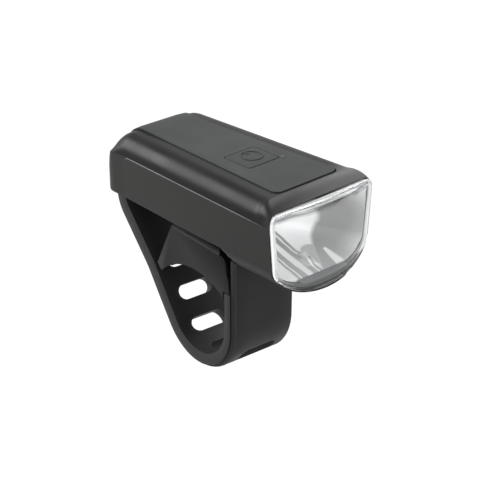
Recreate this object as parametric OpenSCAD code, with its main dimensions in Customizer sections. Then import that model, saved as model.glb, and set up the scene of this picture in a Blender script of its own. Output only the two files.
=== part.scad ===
// Bicycle headlight with a turning head, held on a handlebar by a slotted rubber strap.
// The origin is the centre of the handlebar. X runs along the bar, the light faces -Y, Z is up.

/* [Handlebar mount] */
// Diameter of the handlebar that the strap is closed round
bar_d = 25.4; // [22.2:0.1:31.8]
// Width of the strap and of the saddle, along the bar
strap_w = 20.5; // [18:0.5:24]
// Radius of the hollow under the saddle
saddle_r = 24; // [18:1:30]
// Height of the saddle above the top of the bar
saddle_h = 10.3; // [9.5:0.1:12]
// Thickness of the rubber liner in the hollow
liner_t = 1.2; // [0.8:0.1:1.6]

/* [Strap] */
// Thickness of the strap's full-width layer at the front, under the rib
strap_inner_t = 2.7; // [2.2:0.1:3]
// Thickness of the strap at the front, with its rib
strap_front_t = 5.2; // [4.4:0.1:5.6]
// Thickness of the strap's rear runs
strap_rear_t = 4.5; // [4:0.1:5]
// Length of one slot, across the strap
slot_l = 12.5; // [10:0.5:13]
// Width of one slot, along the strap
slot_w = 4.6; // [3.5:0.1:5]
// Distance from slot to slot, along the inside of the strap
slot_pitch = 10.2; // [9:0.1:11]
// Number of open slots
slot_n = 5; // [3:1:5]
// Slope of the strap's lower rear run
run1_a = 54; // [50:1:58]
// Length of the strap's lower rear run
run1_l = 17.9; // [15:0.1:20]
// Slope of the strap's upper rear run
run2_a = 46; // [42:1:50]

/* [Head] */
// Turn of the head on its mount, away from straight ahead
head_yaw = 5; // [-15:1:15]
// Width of the head at the lens
head_w = 37; // [35:0.5:42]
// Length of the head from the lens rim to the swivel axis
nose_y = 36.7; // [35:0.1:42]
// Length of the head from the swivel axis to the rear end
tail_y = 34.7; // [34:0.1:36]
// Height of the head above its flat underside
head_h = 18.2; // [17.5:0.1:21]
// Narrowing of each side towards the rear, in degrees
taper = 2.5; // [1:0.1:3]
// Depth of the chin below the flat underside
chin_drop = 8.5; // [7.5:0.1:9.5]
// Radius of the long shoulders
shoulder_r = 5.4; // [5:0.1:6.5]
// Wall thickness of the two housings
wall = 1.8; // [1.5:0.1:2]
// Height of the parting line above the underside
parting_h = 12.5; // [12:0.1:13.2]

/* [Lens and lamp] */
// Depth of the lens at its two sides
lens_rim_t = 0.5; // [0.4:0.1:1.2]
// How far the lens's face bulges forwards between its sides
lens_dome = 2.8; // [1.5:0.1:3.5]
// Thickness of the lens's face
lens_t = 1.6; // [1.2:0.1:2]
// Thickness of the gasket behind the lens
gasket_t = 0.5; // [0.4:0.1:0.8]
// Focal length of the reflector
focus = 8; // [7:0.1:9]

/* [Top pad and button] */
// Width of the top pad above the swivel axis
pad_w = 19.3; // [17:0.1:20]
// Thickness of the top pad that is let into the housing
pad_in = 1; // [0.8:0.1:1.1]
// Height of the pad above the housing
pad_out = 0.3; // [0.1:0.1:0.5]
// Length of the button along the head
button_l = 10; // [8:0.5:11]
// Width of the button across the head
button_w = 11; // [9:0.5:12]
// Distance of the button in front of the swivel axis
button_y = 10.5; // [9:0.5:12]
// Travel of the button
button_travel = 0.5; // [0.3:0.1:0.5]

/* [Fits] */
// Clearance between pieces that lie in each other
gap = 0.3; // [0.2:0.05:0.4]
// Radial clearance of the swivel pin in its bore
run_fit = 0.05; // [0.02:0.01:0.08]

/* [Hidden] */
$fn = 64;
eps = 0.01;
big = 200;

bar_r = bar_d / 2;
// levels of the mount, upwards from the bar
saddle_z = bar_r - saddle_r;
saddle_top = bar_r + saddle_h;
turret_h = 2;
turret_r = 9;
turret_top = saddle_top + turret_h;
washer_t = 0.5;
slip = 0.1;
boss_h = 3.4;
boss_r = 8;
boss_z = turret_top + washer_t + slip;
// levels of the head
under_z = boss_z + boss_h;
floor_z = under_z + wall;
parting_z = under_z + parting_h;
top_z = under_z + head_h;
nose_z = top_z - 2.3;
nose_l = 4.5;
chin_z = under_z - chin_drop;
rear_r = 6.5;
rear_lean = 4.6;
rear_a = 31.4;
corner_r = 5;
side_draft = 1.1;
pad_corner = 2.2;
port_y = tail_y - 3.6;
// saddle's outline, seen from the side
saddle_front = 9.5;
saddle_back = 11.3;
tip_y = bar_r + 6.5;
tip_drop = 15.4;
tip_t = 1.6;
bevel = 1.13;
// swivel pin
pin_r = 2;
screw_head_r = 4;
screw_head_h = 2.2;
spring_t = 0.8;
shelf_z = bar_r + liner_t + gap + screw_head_h + spring_t;
boss_in = floor_z + 2.4;
// strap
strap_pin_r = 1.25;
root_y = -(bar_r + 0.2);
root_z = saddle_top - 5.6;
root_r = 2.6;
root_w = 12.8;
leg_z = bar_r - 1.4;
liner_w = strap_w - 2.6;
rib_w = strap_w - 0.6;
rib_top = saddle_top - 2.5;
rib_shift = strap_front_t - strap_rear_t;
rib_r = bar_r + strap_front_t - rib_shift;
arc_a = 90 + run1_a;
// the layer's outside is turned about a point off the bar's centre, so that it thickens to the rear
layer_c = (strap_rear_t - strap_inner_t) * [0.42, -0.3];
layer_r = bar_r + strap_inner_t + layer_c[0];
layer_end_t = layer_r + layer_c[0] * sin(run1_a) - layer_c[1] * cos(run1_a) - bar_r;
arc_len = bar_r * arc_a * PI / 180;
run1_d = [cos(run1_a), sin(run1_a)];
run1_n = [sin(run1_a), -cos(run1_a)];
run2_d = [cos(run2_a), sin(run2_a)];
run2_n = [sin(run2_a), -cos(run2_a)];
p_arc = bar_r * run1_n;
p_bend = p_arc + run1_l * run1_d;
// the tail stands upright where the upper run comes just under the hook
hook_t = 2.3;
hook_z = turret_top - hook_t;
tail_top = under_z - 0.8;
p_tail = p_bend + (hook_z - 1 - p_bend[1]) / run2_d[1] * run2_d;
tail_in = p_tail[0];
hook_w = 11.2;
arm_w = 13;
lip_t = 1.6;
web_t = 4;
slot_first = slot_pitch - 2.2;
// head pieces
front_y = -nose_y;
shell_y = front_y + gasket_t;
pad_front = front_y + nose_l + 0.7;
board_t = 1.2;
board_z = parting_z - 0.7;
board_w = 22;
board_front = -17;
cell = [19, 30, 6.2];
cell_y = 2;
foam_t = 0.8;
cell_z = boss_in + foam_t;
led_y = front_y + 5.7;
led_z = chin_z + 6;
led_board_t = 1.2;
led_w = 18;
led_l = 8;
led_front = 3.5;
sink_l = 9.2;
sink_t = 1.5;
fin_t = 1.2;
fin_pitch = 2.8;
reflector_t = 1.4;
shroud_w = 22;
flange_t = 1.2;
usb = [8.94, 7.3, 3.2];
usb_y = port_y - wall - 1.4;
usb_z = board_z - usb[2] / 2;
board_rear = usb_y - gap;
knuckle_r = 0.7;
cover = [14, 2 * knuckle_r, 7.4];
port_w = cover[0] + 3;
cover_pin_r = 0.35;
cover_z = parting_z - 0.3;
cover_y = port_y + 0.2;
switch_h = 1.8;
plunger_r = 1.5;
key_t = 0.8;
key_z = top_z - pad_in + button_travel + 0.1;
stem_r = 2.5;
light_xy = [6.4, -15.6];
light_r = 0.8;
seal_in = 0.6;
seal_w = 0.7;
seal_t = 0.6;
seal_front = 3.5;
screw_r = 1.1;
post_r = 2.2;
screw_spots = [[12.9, -16], [-12.9, -16], [11.8, 21.5], [-11.8, 21.5]];
board_spots = [[9, -15], [-9, -15]];
sink_spots = [[6.5, 0], [-6.5, 0]];

function half_w(y) = head_w / 2 - (y + nose_y) * tan(taper);
function half_pad(y) = pad_w / 2 - y * tan(taper + 0.4);
function arc(c, r, a0, a1, n = 8) =
    [for (i = [0:n]) c + r * [cos(a0 + (a1 - a0) * i / n), sin(a0 + (a1 - a0) * i / n)]];
function flip(p) = [for (i = [len(p) - 1:-1:0]) [-p[i][0], p[i][1]]];
// the step down from the underside to the chin, along the head
step_y = -16.5;
step_l = 9.5;
function step_pts(d) =
    [for (i = [0:8]) [step_y - d - step_l * i / 8, under_z + d - chin_drop * (1 - cos(180 * i / 8)) / 2]];

module pose_head() rotate([0, 0, head_yaw]) children();

// an outline in Y and Z, drawn out along X
module along_x(w) rotate([90, 0, 90]) linear_extrude(height = w, center = true) children();

// plan of the head, set in by d; the front can be carried on to open a hollow there
module plan(d, front = front_y) {
    rear = arc([half_w(tail_y) - corner_r, tail_y - corner_r], corner_r - d, taper, 90);
    polygon(concat([[half_w(front) - d, front]], rear, flip(rear), [[-half_w(front) + d, front]]));
}

// side view of the head, set in by d
module side_view(d, front = front_y) {
    rear_c = [tail_y - rear_lean - rear_r * cos(rear_a), top_z - rear_r];
    lip = rear_c + (rear_r - d) * [cos(rear_a), sin(rear_a)];
    foot = [tail_y - d, under_z + d];
    polygon(concat(
        [[front, nose_z - d], [front_y + nose_l, top_z - d]],
        arc(rear_c, rear_r - d, 90, rear_a),
        [for (i = [1:6]) let (t = i / 6)
            [foot[0] - (foot[0] - lip[0]) * pow(1 - t, 2), lip[1] + (foot[1] - lip[1]) * t]],
        step_pts(d),
        [[front, chin_z + d]]));
}

// front view: sides that draw in a little towards a round keel, set in by d
module front_view(d) {
    side = head_w / 2 - d;
    keel = [for (a = [180:10:360])
        [(side - side_draft) * cos(a), under_z + 0.5 + (chin_drop + 0.5 - d) * sin(a)]];
    polygon(concat(keel, [[side, parting_z], [side, top_z + 5], [-side, top_z + 5], [-side, parting_z]]));
}

// cuts the long edges of the top round, along each leaning side
module shoulder_cuts(d) {
    for (s = [0, 1]) mirror([s, 0, 0])
        translate([head_w / 2, front_y, top_z - shoulder_r])
            rotate([0, 0, taper])
                difference() {
                    translate([-shoulder_r, -10, 0]) cube([shoulder_r + 5, big, shoulder_r + 5]);
                    translate([-shoulder_r, -20, 0]) rotate([-90, 0, 0])
                        cylinder(r = shoulder_r - d, h = big + 40);
                }
}

module head_form(d, front = front_y) {
    difference() {
        intersection() {
            linear_extrude(height = big) plan(d, front);
            along_x(big) side_view(d, front);
            rotate([90, 0, 0]) linear_extrude(height = big, center = true) front_view(d);
        }
        shoulder_cuts(d);
    }
}

// hollow shell of the whole head, open at the lens
module head_shell() {
    difference() {
        head_form(0, shell_y);
        head_form(wall, front_y - 5);
    }
}

module above(z) translate([-big / 2, -big / 2, z]) cube([big, big, big]);
module below(z) translate([-big / 2, -big / 2, z - big]) cube([big, big, big]);

// a slab with round ends along X, standing on z = 0
module stadium(l, w, h) {
    translate([-(l - w) / 2, -w / 2, 0]) cube([l - w, w, h]);
    for (s = [-1, 1]) translate([s * (l - w) / 2, 0, 0]) cylinder(d = w, h = h);
}

// a slab with round corners, centred on the origin in X and Y
module tablet(w, l, r, h) {
    translate([-w / 2 + r, -l / 2, 0]) cube([w - 2 * r, l, h]);
    translate([-w / 2, -l / 2 + r, 0]) cube([w, l - 2 * r, h]);
    for (x = [-1, 1], y = [-1, 1]) translate([x * (w / 2 - r), y * (l / 2 - r), 0])
        cylinder(r = r, h = h);
}

// puts its children on the inside of the strap, s along it from the front, with Z pointing out
module on_strap(s) {
    if (s < arc_len)
        rotate([90 + s / bar_r * 180 / PI, 0, 0]) translate([0, 0, bar_r]) children();
    else if (s < arc_len + run1_l)
        translate([0, p_arc[0] + (s - arc_len) * run1_d[0], p_arc[1] + (s - arc_len) * run1_d[1]])
            rotate([run1_a - 180, 0, 0]) children();
    else
        translate([0, p_bend[0] + (s - arc_len - run1_l) * run2_d[0],
                   p_bend[1] + (s - arc_len - run1_l) * run2_d[1]])
            rotate([run2_a - 180, 0, 0]) children();
}

// the part of a ring round the bar that the strap follows, from the front to the rear run
module strap_sector() {
    far = 60;
    along_x(big) polygon([[0, 0], [-far, 0], [-far, -far], [far * run1_n[0], -far], far * run1_n]);
}

module mount_base() {
    color("#2b2b2d") difference() {
        union() {
            difference() {
                along_x(strap_w) polygon([
                    [saddle_back, saddle_top], [tip_y, saddle_top - tip_drop],
                    [tip_y - tip_t, saddle_top - tip_drop - tip_t],
                    [-bar_r + gap, saddle_top - tip_drop - tip_t], [-bar_r + gap, leg_z + gap],
                    [-bar_r - strap_inner_t + gap, leg_z + gap], [-bar_r - 1.9, root_z - 1.6],
                    [-bar_r + 0.1, root_z + 2.8], [-saddle_front, saddle_top]]);
                for (s = [0, 1]) mirror([s, 0, 0])
                    translate([strap_w / 2, 0, saddle_top]) rotate([0, 45, 0])
                        cube([bevel * sqrt(2), big, bevel * sqrt(2)], center = true);
            }
            cylinder(r = turret_r, h = turret_top);
            translate([-arm_w / 2, 0, hook_z]) cube([arm_w, tail_in - gap, hook_t]);
            along_x(web_t) polygon([
                [5, saddle_top - 5], [saddle_back + 1.7, saddle_top - 4.6],
                [tail_in - 1.5, hook_z + 0.5], [5, hook_z + 0.5]]);
            translate([-hook_w / 2, 0, hook_z])
                cube([hook_w, tail_in + strap_rear_t + gap + lip_t, hook_t]);
            translate([-hook_w / 2, tail_in + strap_rear_t + gap, hook_z])
                cube([hook_w, lip_t, hook_t + 2.2]);
        }
        // hollow for the bar, with a deeper bed for the liner
        translate([0, 0, saddle_z]) rotate([0, 90, 0])
            cylinder(r = saddle_r + 0.2, h = big, center = true, $fn = 128);
        translate([0, 0, saddle_z]) rotate([0, 90, 0])
            cylinder(r = saddle_r + liner_t, h = liner_w + 0.2, center = true, $fn = 128);
        // swivel bore and the well for the screw's head
        cylinder(r = pin_r + run_fit, h = big);
        cylinder(r = screw_head_r + 0.5, h = shelf_z);
        // room for the strap's root, and the bore for its pin
        translate([-root_w / 2 - gap, -big, 0])
            cube([root_w + 2 * gap, big - bar_r + 0.3, saddle_top - 2.4]);
        translate([0, root_y, root_z]) rotate([0, 90, 0])
            cylinder(r = root_r + gap, h = root_w + 2 * gap, center = true);
        translate([-strap_w / 2 + 1.4, root_y, root_z]) rotate([0, 90, 0])
            cylinder(r = strap_pin_r, h = strap_w);
    }
}

module saddle_liner() {
    color("#1c1c1d") difference() {
        intersection() {
            translate([0, 0, saddle_z]) rotate([0, 90, 0])
                cylinder(r = saddle_r + liner_t, h = liner_w, center = true, $fn = 128);
            along_x(strap_w) polygon([
                [-bar_r + 0.5, 0], [bar_r + 1.3, 0], [bar_r + 1.3, big], [-bar_r + 0.5, big]]);
        }
        translate([0, 0, saddle_z]) rotate([0, 90, 0])
            cylinder(r = saddle_r, h = strap_w, center = true, $fn = 128);
    }
}

// the strap behind the bar: w wide, t0 thick where it leaves the round, t thick from the bend on
module rear_runs(w, t0, t) {
    along_x(w) polygon(concat(
        [p_arc - 0.4 * run1_d, p_arc, p_bend, p_tail, [tail_in, tail_top], [tail_in + t, tail_top]],
        arc(p_tail, t, 0, run2_a - 90, 6),
        [p_bend + t * run1_n, p_arc + t0 * run1_n, p_arc + t0 * run1_n - 0.4 * run1_d]));
}

module strap() {
    color("#2a2b2c") difference() {
        union() {
            // plain leg at the front, and the round that follows the bar
            translate([-strap_w / 2, -bar_r - strap_inner_t, 0]) cube([strap_w, strap_inner_t, leg_z]);
            intersection() {
                strap_sector();
                translate([0, layer_c[0], layer_c[1]]) rotate([0, 90, 0])
                    cylinder(r = layer_r, h = strap_w, center = true);
            }
            // narrower rib on the outside, thickest at the front
            intersection() {
                union() {
                    strap_sector();
                    translate([-big / 2, -big, -eps]) cube([big, big - bar_r, eps + 1]);
                }
                translate([0, -rib_shift, rib_shift]) rotate([0, 90, 0])
                    cylinder(r = rib_r, h = rib_w, center = true);
            }
            translate([-rib_w / 2, -bar_r - strap_front_t, 0])
                cube([rib_w, strap_front_t - strap_inner_t + eps, rib_top]);
            // rear runs and the upright tail
            rear_runs(strap_w, layer_end_t, strap_rear_t);
            // root that hangs on the pin
            translate([-root_w / 2, -bar_r - strap_inner_t, 0]) cube([root_w, strap_inner_t, root_z]);
            translate([0, root_y, root_z]) rotate([0, 90, 0])
                cylinder(r = root_r, h = root_w, center = true);
        }
        rotate([0, 90, 0]) cylinder(r = bar_r, h = big, center = true);
        translate([0, root_y, root_z]) rotate([0, 90, 0])
            cylinder(r = strap_pin_r + run_fit, h = big, center = true);
        for (i = [0:slot_n - 1]) on_strap(slot_first + i * slot_pitch)
            translate([0, 0, -5]) stadium(slot_l, slot_w, 20);
        // slot that hangs on the hook
        translate([-slot_l / 2, tail_in - 5, hook_z - gap]) cube([slot_l, 20, hook_t + 2 * gap]);
    }
}

module strap_pin() {
    color("#b9bcc0") translate([-strap_w / 2 + 1.5, root_y, root_z]) rotate([0, 90, 0])
        cylinder(r = strap_pin_r, h = strap_w - 1.9);
}

module spring_washer() {
    color("#c4c6c8") translate([0, 0, shelf_z - spring_t]) difference() {
        cylinder(r = screw_head_r - 0.2, h = spring_t);
        translate([0, 0, -1]) cylinder(r = pin_r + 0.2, h = 5);
    }
}

module swivel_washer() {
    color("#d9d5c8") translate([0, 0, turret_top]) difference() {
        cylinder(r = boss_r - 0.3, h = washer_t);
        translate([0, 0, -1]) cylinder(r = pin_r + 0.4, h = 5);
    }
}

module pivot_screw() {
    color("#c4c6c8") pose_head() {
        translate([0, 0, shelf_z - spring_t - screw_head_h - 0.05]) difference() {
            cylinder(r = screw_head_r, h = screw_head_h);
            translate([0, 0, -1]) cylinder(r = 1.6, h = 2.4, $fn = 6);
        }
        translate([0, 0, shelf_z - spring_t - 0.06])
            cylinder(r = pin_r, h = boss_in - 0.6 - shelf_z + spring_t);
    }
}

module lower_housing() {
    color("#333332") pose_head() difference() {
        union() {
            difference() {
                head_shell();
                above(parting_z);
            }
            // swivel boss, outside and inside
            translate([0, 0, boss_z]) cylinder(r = boss_r, h = boss_h + 0.5);
            translate([0, 0, under_z]) cylinder(r = 4.5, h = boss_in - under_z);
            // ribs under the battery, and posts for the heat sink's screws
            for (y = [-1, 1]) translate([-cell[0] / 2, cell_y + y * cell[1] / 3 - 0.6, floor_z - 0.5])
                cube([cell[0], 1.2, boss_in - floor_z + 0.5]);
            intersection() {
                for (p = sink_spots) translate([p[0], led_y + 1.6, 0])
                    cylinder(r = 1.7, h = led_z - 1.9);
                head_form(0.5);
            }
            // screw posts
            intersection() {
                for (p = screw_spots) translate([p[0], p[1], under_z])
                    cylinder(r = post_r, h = parting_h);
                head_form(0.5);
            }
            // thick wall behind the charging port
            intersection() {
                translate([-port_w / 2, usb_y + 0.2, floor_z]) cube([port_w, 5, parting_h - wall]);
                head_form(0.5);
            }
        }
        translate([0, 0, boss_z - 1]) cylinder(r = pin_r, h = boss_in - boss_z + 0.6);
        for (p = screw_spots) translate([p[0], p[1], under_z - 1]) {
            cylinder(r = screw_r + 0.15, h = big);
            cylinder(r = 2.1, h = 1 + 1.6);
        }
        for (p = sink_spots) translate([p[0], led_y + 1.6, led_z - 4.4]) cylinder(r = 0.8, h = 4);
        seal_ring(0.05);
        // charging port and the bed of its cover
        translate([0, usb_y - 2, usb_z]) rotate([-90, 0, 0]) stadium(usb[0] + 0.5, usb[2] + 0.5, 20);
        translate([0, cover_y - knuckle_r, cover_z - knuckle_r]) rotate([0, 90, 0])
            cylinder(r = cover_pin_r + run_fit, h = port_w - 0.4, center = true);
        translate([-cover[0] / 2 - gap, cover_y - cover[1] - 0.1, cover_z - cover[2] - gap])
            cube([cover[0] + 2 * gap, 10, cover[2] + 2]);
    }
}

// bead that lies half in each housing, along both sides and round the rear corners
module seal_ring(g = 0) {
    difference() {
        head_form(seal_in - g);
        head_form(seal_in + seal_w + g, front_y - 5);
        below(parting_z - seal_t / 2 - g);
        above(parting_z + seal_t / 2 + g);
        translate([-big / 2, front_y - 1, 0]) cube([big, seal_front + 1 - g, big]);
        translate([-port_w / 2 - 0.3 + g, 0, 0]) cube([port_w + 0.6 - 2 * g, big, big]);
    }
}

module housing_seal() {
    color("#4a1f1c") pose_head() seal_ring();
}

// what the pad fills, let into the top and round the rear edge
module pad_bed(g) {
    corner = arc([half_pad(pad_front) - pad_corner, pad_front + pad_corner], pad_corner + g, -90, 0, 5);
    rear = [[half_pad(tail_y + 3) + g, tail_y + 3], [-half_pad(tail_y + 3) - g, tail_y + 3]];
    intersection() {
        along_x(big) difference() {
            side_view(-1);
            side_view(pad_in);
        }
        linear_extrude(height = big) polygon(concat(corner, rear, flip(corner)));
        above(parting_z + 0.3 - g);
    }
}

module top_housing() {
    color("#2c2c2d") pose_head() difference() {
        union() {
            difference() {
                head_shell();
                below(parting_z);
            }
            intersection() {
                for (p = screw_spots) translate([p[0], p[1], parting_z]) cylinder(r = post_r, h = big);
                head_form(0.5);
            }
            intersection() {
                for (p = board_spots) translate([p[0], p[1], board_z + board_t])
                    cylinder(r = 1.8, h = big);
                head_form(pad_in + 0.5);
            }
        }
        for (p = screw_spots) translate([p[0], p[1], parting_z - 1]) cylinder(r = screw_r, h = 5);
        for (p = board_spots) translate([p[0], p[1], board_z]) cylinder(r = 0.8, h = board_t + 2.4);
        seal_ring(0.05);
        pad_bed(gap / 2);
        translate([0, -button_y, parting_z]) cylinder(r = stem_r + gap, h = big);
        translate([light_xy[0], light_xy[1], parting_z]) cylinder(r = light_r + 0.1, h = big);
        translate([-cover[0] / 2 - gap, cover_y - cover[1] - 0.1, parting_z - 1])
            cube([cover[0] + 2 * gap, 10, 1.3]);
    }
}

module housing_screws() {
    color("#8f9297") pose_head() for (p = screw_spots) translate([p[0], p[1], under_z + 0.1]) {
        difference() {
            cylinder(r = 1.9, h = 1.45);
            translate([0, 0, -1]) cylinder(r = 0.8, h = 1.8, $fn = 6);
        }
        cylinder(r = screw_r, h = parting_h + 3.4);
    }
}

// all that lies behind the lens's face, which is round across the head, t behind its outside
module behind_face(t) {
    face_r = (pow(head_w / 2, 2) + pow(lens_dome, 2)) / (2 * lens_dome);
    translate([0, front_y - lens_rim_t - lens_dome + t + face_r, 0]) cylinder(r = face_r, h = big, $fn = 160);
}

module front_lens() {
    color([0.9, 0.93, 0.95, 0.35]) pose_head() difference() {
        intersection() {
            head_prism(0.15);
            behind_face(0);
            translate([-big / 2, front_y - big, 0]) cube([big, big, big]);
        }
        intersection() {
            head_prism(0.15 + lens_t);
            behind_face(lens_t);
        }
    }
}

// straight prism of the front opening's outline, along the head
module head_prism(d) {
    intersection() {
        rotate([90, 0, 0]) linear_extrude(height = big, center = true) front_view(d);
        translate([-big / 2, -big / 2, 0]) cube([big, big, nose_z - d]);
        translate([-half_w(front_y) + d, -big / 2, 0]) cube([2 * half_w(front_y) - 2 * d, big, big]);
        union() {
            below(top_z - shoulder_r);
            for (s = [-1, 1]) translate([s * (head_w / 2 - shoulder_r), 0, top_z - shoulder_r])
                rotate([90, 0, 0]) cylinder(r = shoulder_r - d, h = big, center = true);
            translate([-head_w / 2 + shoulder_r, -big / 2, 0])
                cube([head_w - 2 * shoulder_r, big, big]);
        }
    }
}

module lens_gasket() {
    color("#1a1a1a") pose_head() difference() {
        intersection() {
            head_prism(0.4);
            translate([-big / 2, front_y, 0]) cube([big, gasket_t, big]);
        }
        intersection() {
            head_prism(wall - 0.1);
            translate([-big / 2, front_y - 5, 0]) cube([big, 20, big]);
        }
    }
}

// bowl of the reflector, turned round a line along the head through the lamp
module bowl(t) {
    far = led_y - front_y + 5;
    translate([0, led_y, led_z]) rotate([90, 0, 0]) rotate_extrude($fn = 96)
        polygon(concat([[0, far]], [for (i = [0:14]) let (y = -focus + (far + focus) * i / 14)
            [sqrt(4 * focus * (y + focus)) + t * (i > 0 ? 1 : 0), y - t]]));
}

module reflector() {
    color("#d7dadd") pose_head() difference() {
        intersection() {
            union() {
                intersection() {
                    bowl(reflector_t);
                    head_form(wall + gap, front_y - 5);
                }
                // flange that stands in the front opening
                intersection() {
                    head_form(wall, front_y - 5);
                    translate([-big / 2, shell_y, 0]) cube([big, flange_t, big]);
                }
            }
            translate([-big / 2, shell_y, led_z + 1.2]) cube([big, big, big]);
        }
        bowl(0);
    }
}

module led_shroud() {
    color("#3a3b3d") pose_head() difference() {
        intersection() {
            head_form(wall, front_y - 5);
            translate([-shroud_w / 2, shell_y, 0]) cube([shroud_w, flange_t, led_z + 1.2]);
        }
        translate([0, shell_y - 1, led_z + 9]) rotate([-90, 0, 0]) cylinder(r = 9, h = 5);
    }
}

module led_emitter() {
    color("#f2e28a") pose_head() translate([-1.7, led_y - 1.7, led_z + led_board_t - 0.4])
        cube([3.4, 3.4, 0.7]);
}

module led_board() {
    color("#e8e8e4") pose_head() difference() {
        translate([-led_w / 2, led_y - led_front, led_z - 0.4]) cube([led_w, led_l, led_board_t]);
        for (p = sink_spots) translate([p[0], led_y + 1.6, led_z - 5]) cylinder(r = 0.9, h = 10);
    }
}

module heat_sink() {
    color("#b8bbbf") pose_head() difference() {
        union() {
            translate([-led_w / 2, led_y - led_front, led_z - 0.4 - sink_t]) cube([led_w, sink_l, sink_t]);
            for (i = [-1:1]) translate([i * fin_pitch - fin_t / 2, led_y - led_front, led_z - 1.8 - sink_t])
                cube([fin_t, sink_l - 2, sink_t]);
        }
        for (p = sink_spots) translate([p[0], led_y + 1.6, led_z - 5]) cylinder(r = 0.8, h = 10);
    }
}

module heat_sink_screws() {
    color("#8f9297") pose_head() for (p = sink_spots) translate([p[0], led_y + 1.6, led_z - 4.2]) {
        cylinder(r = 0.8, h = 5.1);
        translate([0, 0, 5]) cylinder(r = 1.5, h = 0.8);
    }
}

module battery_cell() {
    color("#9aa3ad") pose_head() translate([0, cell_y, cell_z]) tablet(cell[0], cell[1], 2.5, cell[2]);
}

module battery_foam() {
    color("#e3ded2") pose_head() translate([-cell[0] / 2 + 1, cell_y - cell[1] / 2 + 1, cell_z - foam_t])
        cube([cell[0] - 2, cell[1] - 2, foam_t]);
}

module main_circuit_board() {
    color("#1f5a35") pose_head() difference() {
        translate([-board_w / 2, board_front, board_z])
            cube([board_w, board_rear - board_front, board_t]);
        for (p = board_spots) translate([p[0], p[1], board_z - 5]) cylinder(r = 0.95, h = 10);
        for (p = screw_spots) translate([p[0], p[1], board_z - 5]) cylinder(r = post_r + gap, h = 10);
    }
}

module board_screws() {
    color("#8f9297") pose_head() for (p = board_spots) translate([p[0], p[1], board_z - 0.8]) {
        cylinder(r = 1.6, h = 0.8);
        cylinder(r = 0.8, h = board_t + 2.8);
    }
}

module usb_socket() {
    color("#c9ccd0") pose_head() translate([0, usb_y - usb[1], usb_z]) rotate([-90, 0, 0]) {
        difference() {
            stadium(usb[0], usb[2], usb[1]);
            translate([0, 0, 1]) stadium(usb[0] - 0.6, usb[2] - 0.6, usb[1]);
        }
        translate([-3.3, -0.35, 0.5]) cube([6.6, 0.7, usb[1] - 1.5]);
    }
}

module tactile_switch() {
    color("#3c3c3c") pose_head() translate([0, -button_y, board_z + board_t]) difference() {
        tablet(6, 6, 0.6, switch_h);
        translate([0, 0, 0.4]) cylinder(r = plunger_r + 0.06, h = 5);
    }
}

module switch_plunger() {
    color("#d8d8d4") pose_head() translate([0, -button_y, board_z + board_t + switch_h - 0.8])
        cylinder(r = plunger_r, h = 1.8);
}

module indicator_light() {
    color("#dfe8df") pose_head() translate([light_xy[0], light_xy[1], board_z + board_t])
        cylinder(r = light_r, h = top_z + pad_out - board_z - board_t - 0.05);
}

module top_pad() {
    color("#4a4d4c") pose_head() difference() {
        intersection() {
            pad_bed(0);
            along_x(big) side_view(-pad_out);
        }
        translate([0, -button_y, 0]) tablet(button_w + 2 * gap, button_l + 2 * gap, 1.5 + gap, big);
        translate([light_xy[0], light_xy[1], 0]) cylinder(r = light_r + 0.1, h = big);
    }
}

module power_button() {
    color("#505352") pose_head() translate([0, -button_y, 0]) {
        translate([0, 0, key_z]) tablet(button_w, button_l, 1.5, key_t);
        stem_z = board_z + board_t + switch_h + 1;
        translate([0, 0, stem_z]) cylinder(r = stem_r, h = key_z - stem_z + eps);
    }
}

module charge_port_cover() {
    color("#474a49") pose_head() {
        translate([0, cover_y - knuckle_r, cover_z - knuckle_r]) {
            rotate([0, 90, 0]) cylinder(r = knuckle_r, h = cover[0], center = true);
            rotate([0, 90, 0]) cylinder(r = cover_pin_r, h = port_w - 0.6, center = true);
            translate([-cover[0] / 2, -knuckle_r, knuckle_r - cover[2]])
                cube([cover[0], cover[1], cover[2] - knuckle_r]);
        }
        translate([0, usb_y + 0.6, usb_z]) rotate([-90, 0, 0])
            stadium(usb[0] - 0.5, usb[2] - 1.6, cover_y - cover[1] - usb_y - 0.6 + eps);
    }
}

mount_base();
saddle_liner();
strap();
strap_pin();
spring_washer();
swivel_washer();
pivot_screw();
lower_housing();
top_housing();
housing_seal();
housing_screws();
front_lens();
lens_gasket();
reflector();
led_shroud();
led_emitter();
led_board();
heat_sink();
heat_sink_screws();
battery_cell();
battery_foam();
main_circuit_board();
board_screws();
usb_socket();
tactile_switch();
switch_plunger();
indicator_light();
top_pad();
power_button();
charge_port_cover();
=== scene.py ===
# %% [markdown]
# A bicycle headlight, dressed around its CAD frame.
# The frame comes first. Every later piece is modelled where the frame says, and rides on one of its
# bodies: the mount on the handlebar, the head that turns on it, the button and the port cover.

# %% Load the frame
import math

import bmesh
import bpy
from mathutils import Matrix, Vector


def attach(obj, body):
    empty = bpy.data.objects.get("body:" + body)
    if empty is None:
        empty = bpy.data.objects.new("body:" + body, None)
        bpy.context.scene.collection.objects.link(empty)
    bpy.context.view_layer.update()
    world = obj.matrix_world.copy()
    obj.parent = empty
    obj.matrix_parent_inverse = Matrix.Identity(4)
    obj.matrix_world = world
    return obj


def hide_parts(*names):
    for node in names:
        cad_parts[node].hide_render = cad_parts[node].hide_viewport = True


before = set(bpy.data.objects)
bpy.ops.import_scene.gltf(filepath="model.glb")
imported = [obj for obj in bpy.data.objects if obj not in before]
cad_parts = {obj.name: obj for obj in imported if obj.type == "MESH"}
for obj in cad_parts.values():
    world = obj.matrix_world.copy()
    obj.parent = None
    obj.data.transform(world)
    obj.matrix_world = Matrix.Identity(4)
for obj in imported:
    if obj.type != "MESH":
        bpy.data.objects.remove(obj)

# Loading leaves the CAD nodes selected, and operators act on all that is selected.
bpy.ops.object.select_all(action="DESELECT")
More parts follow.
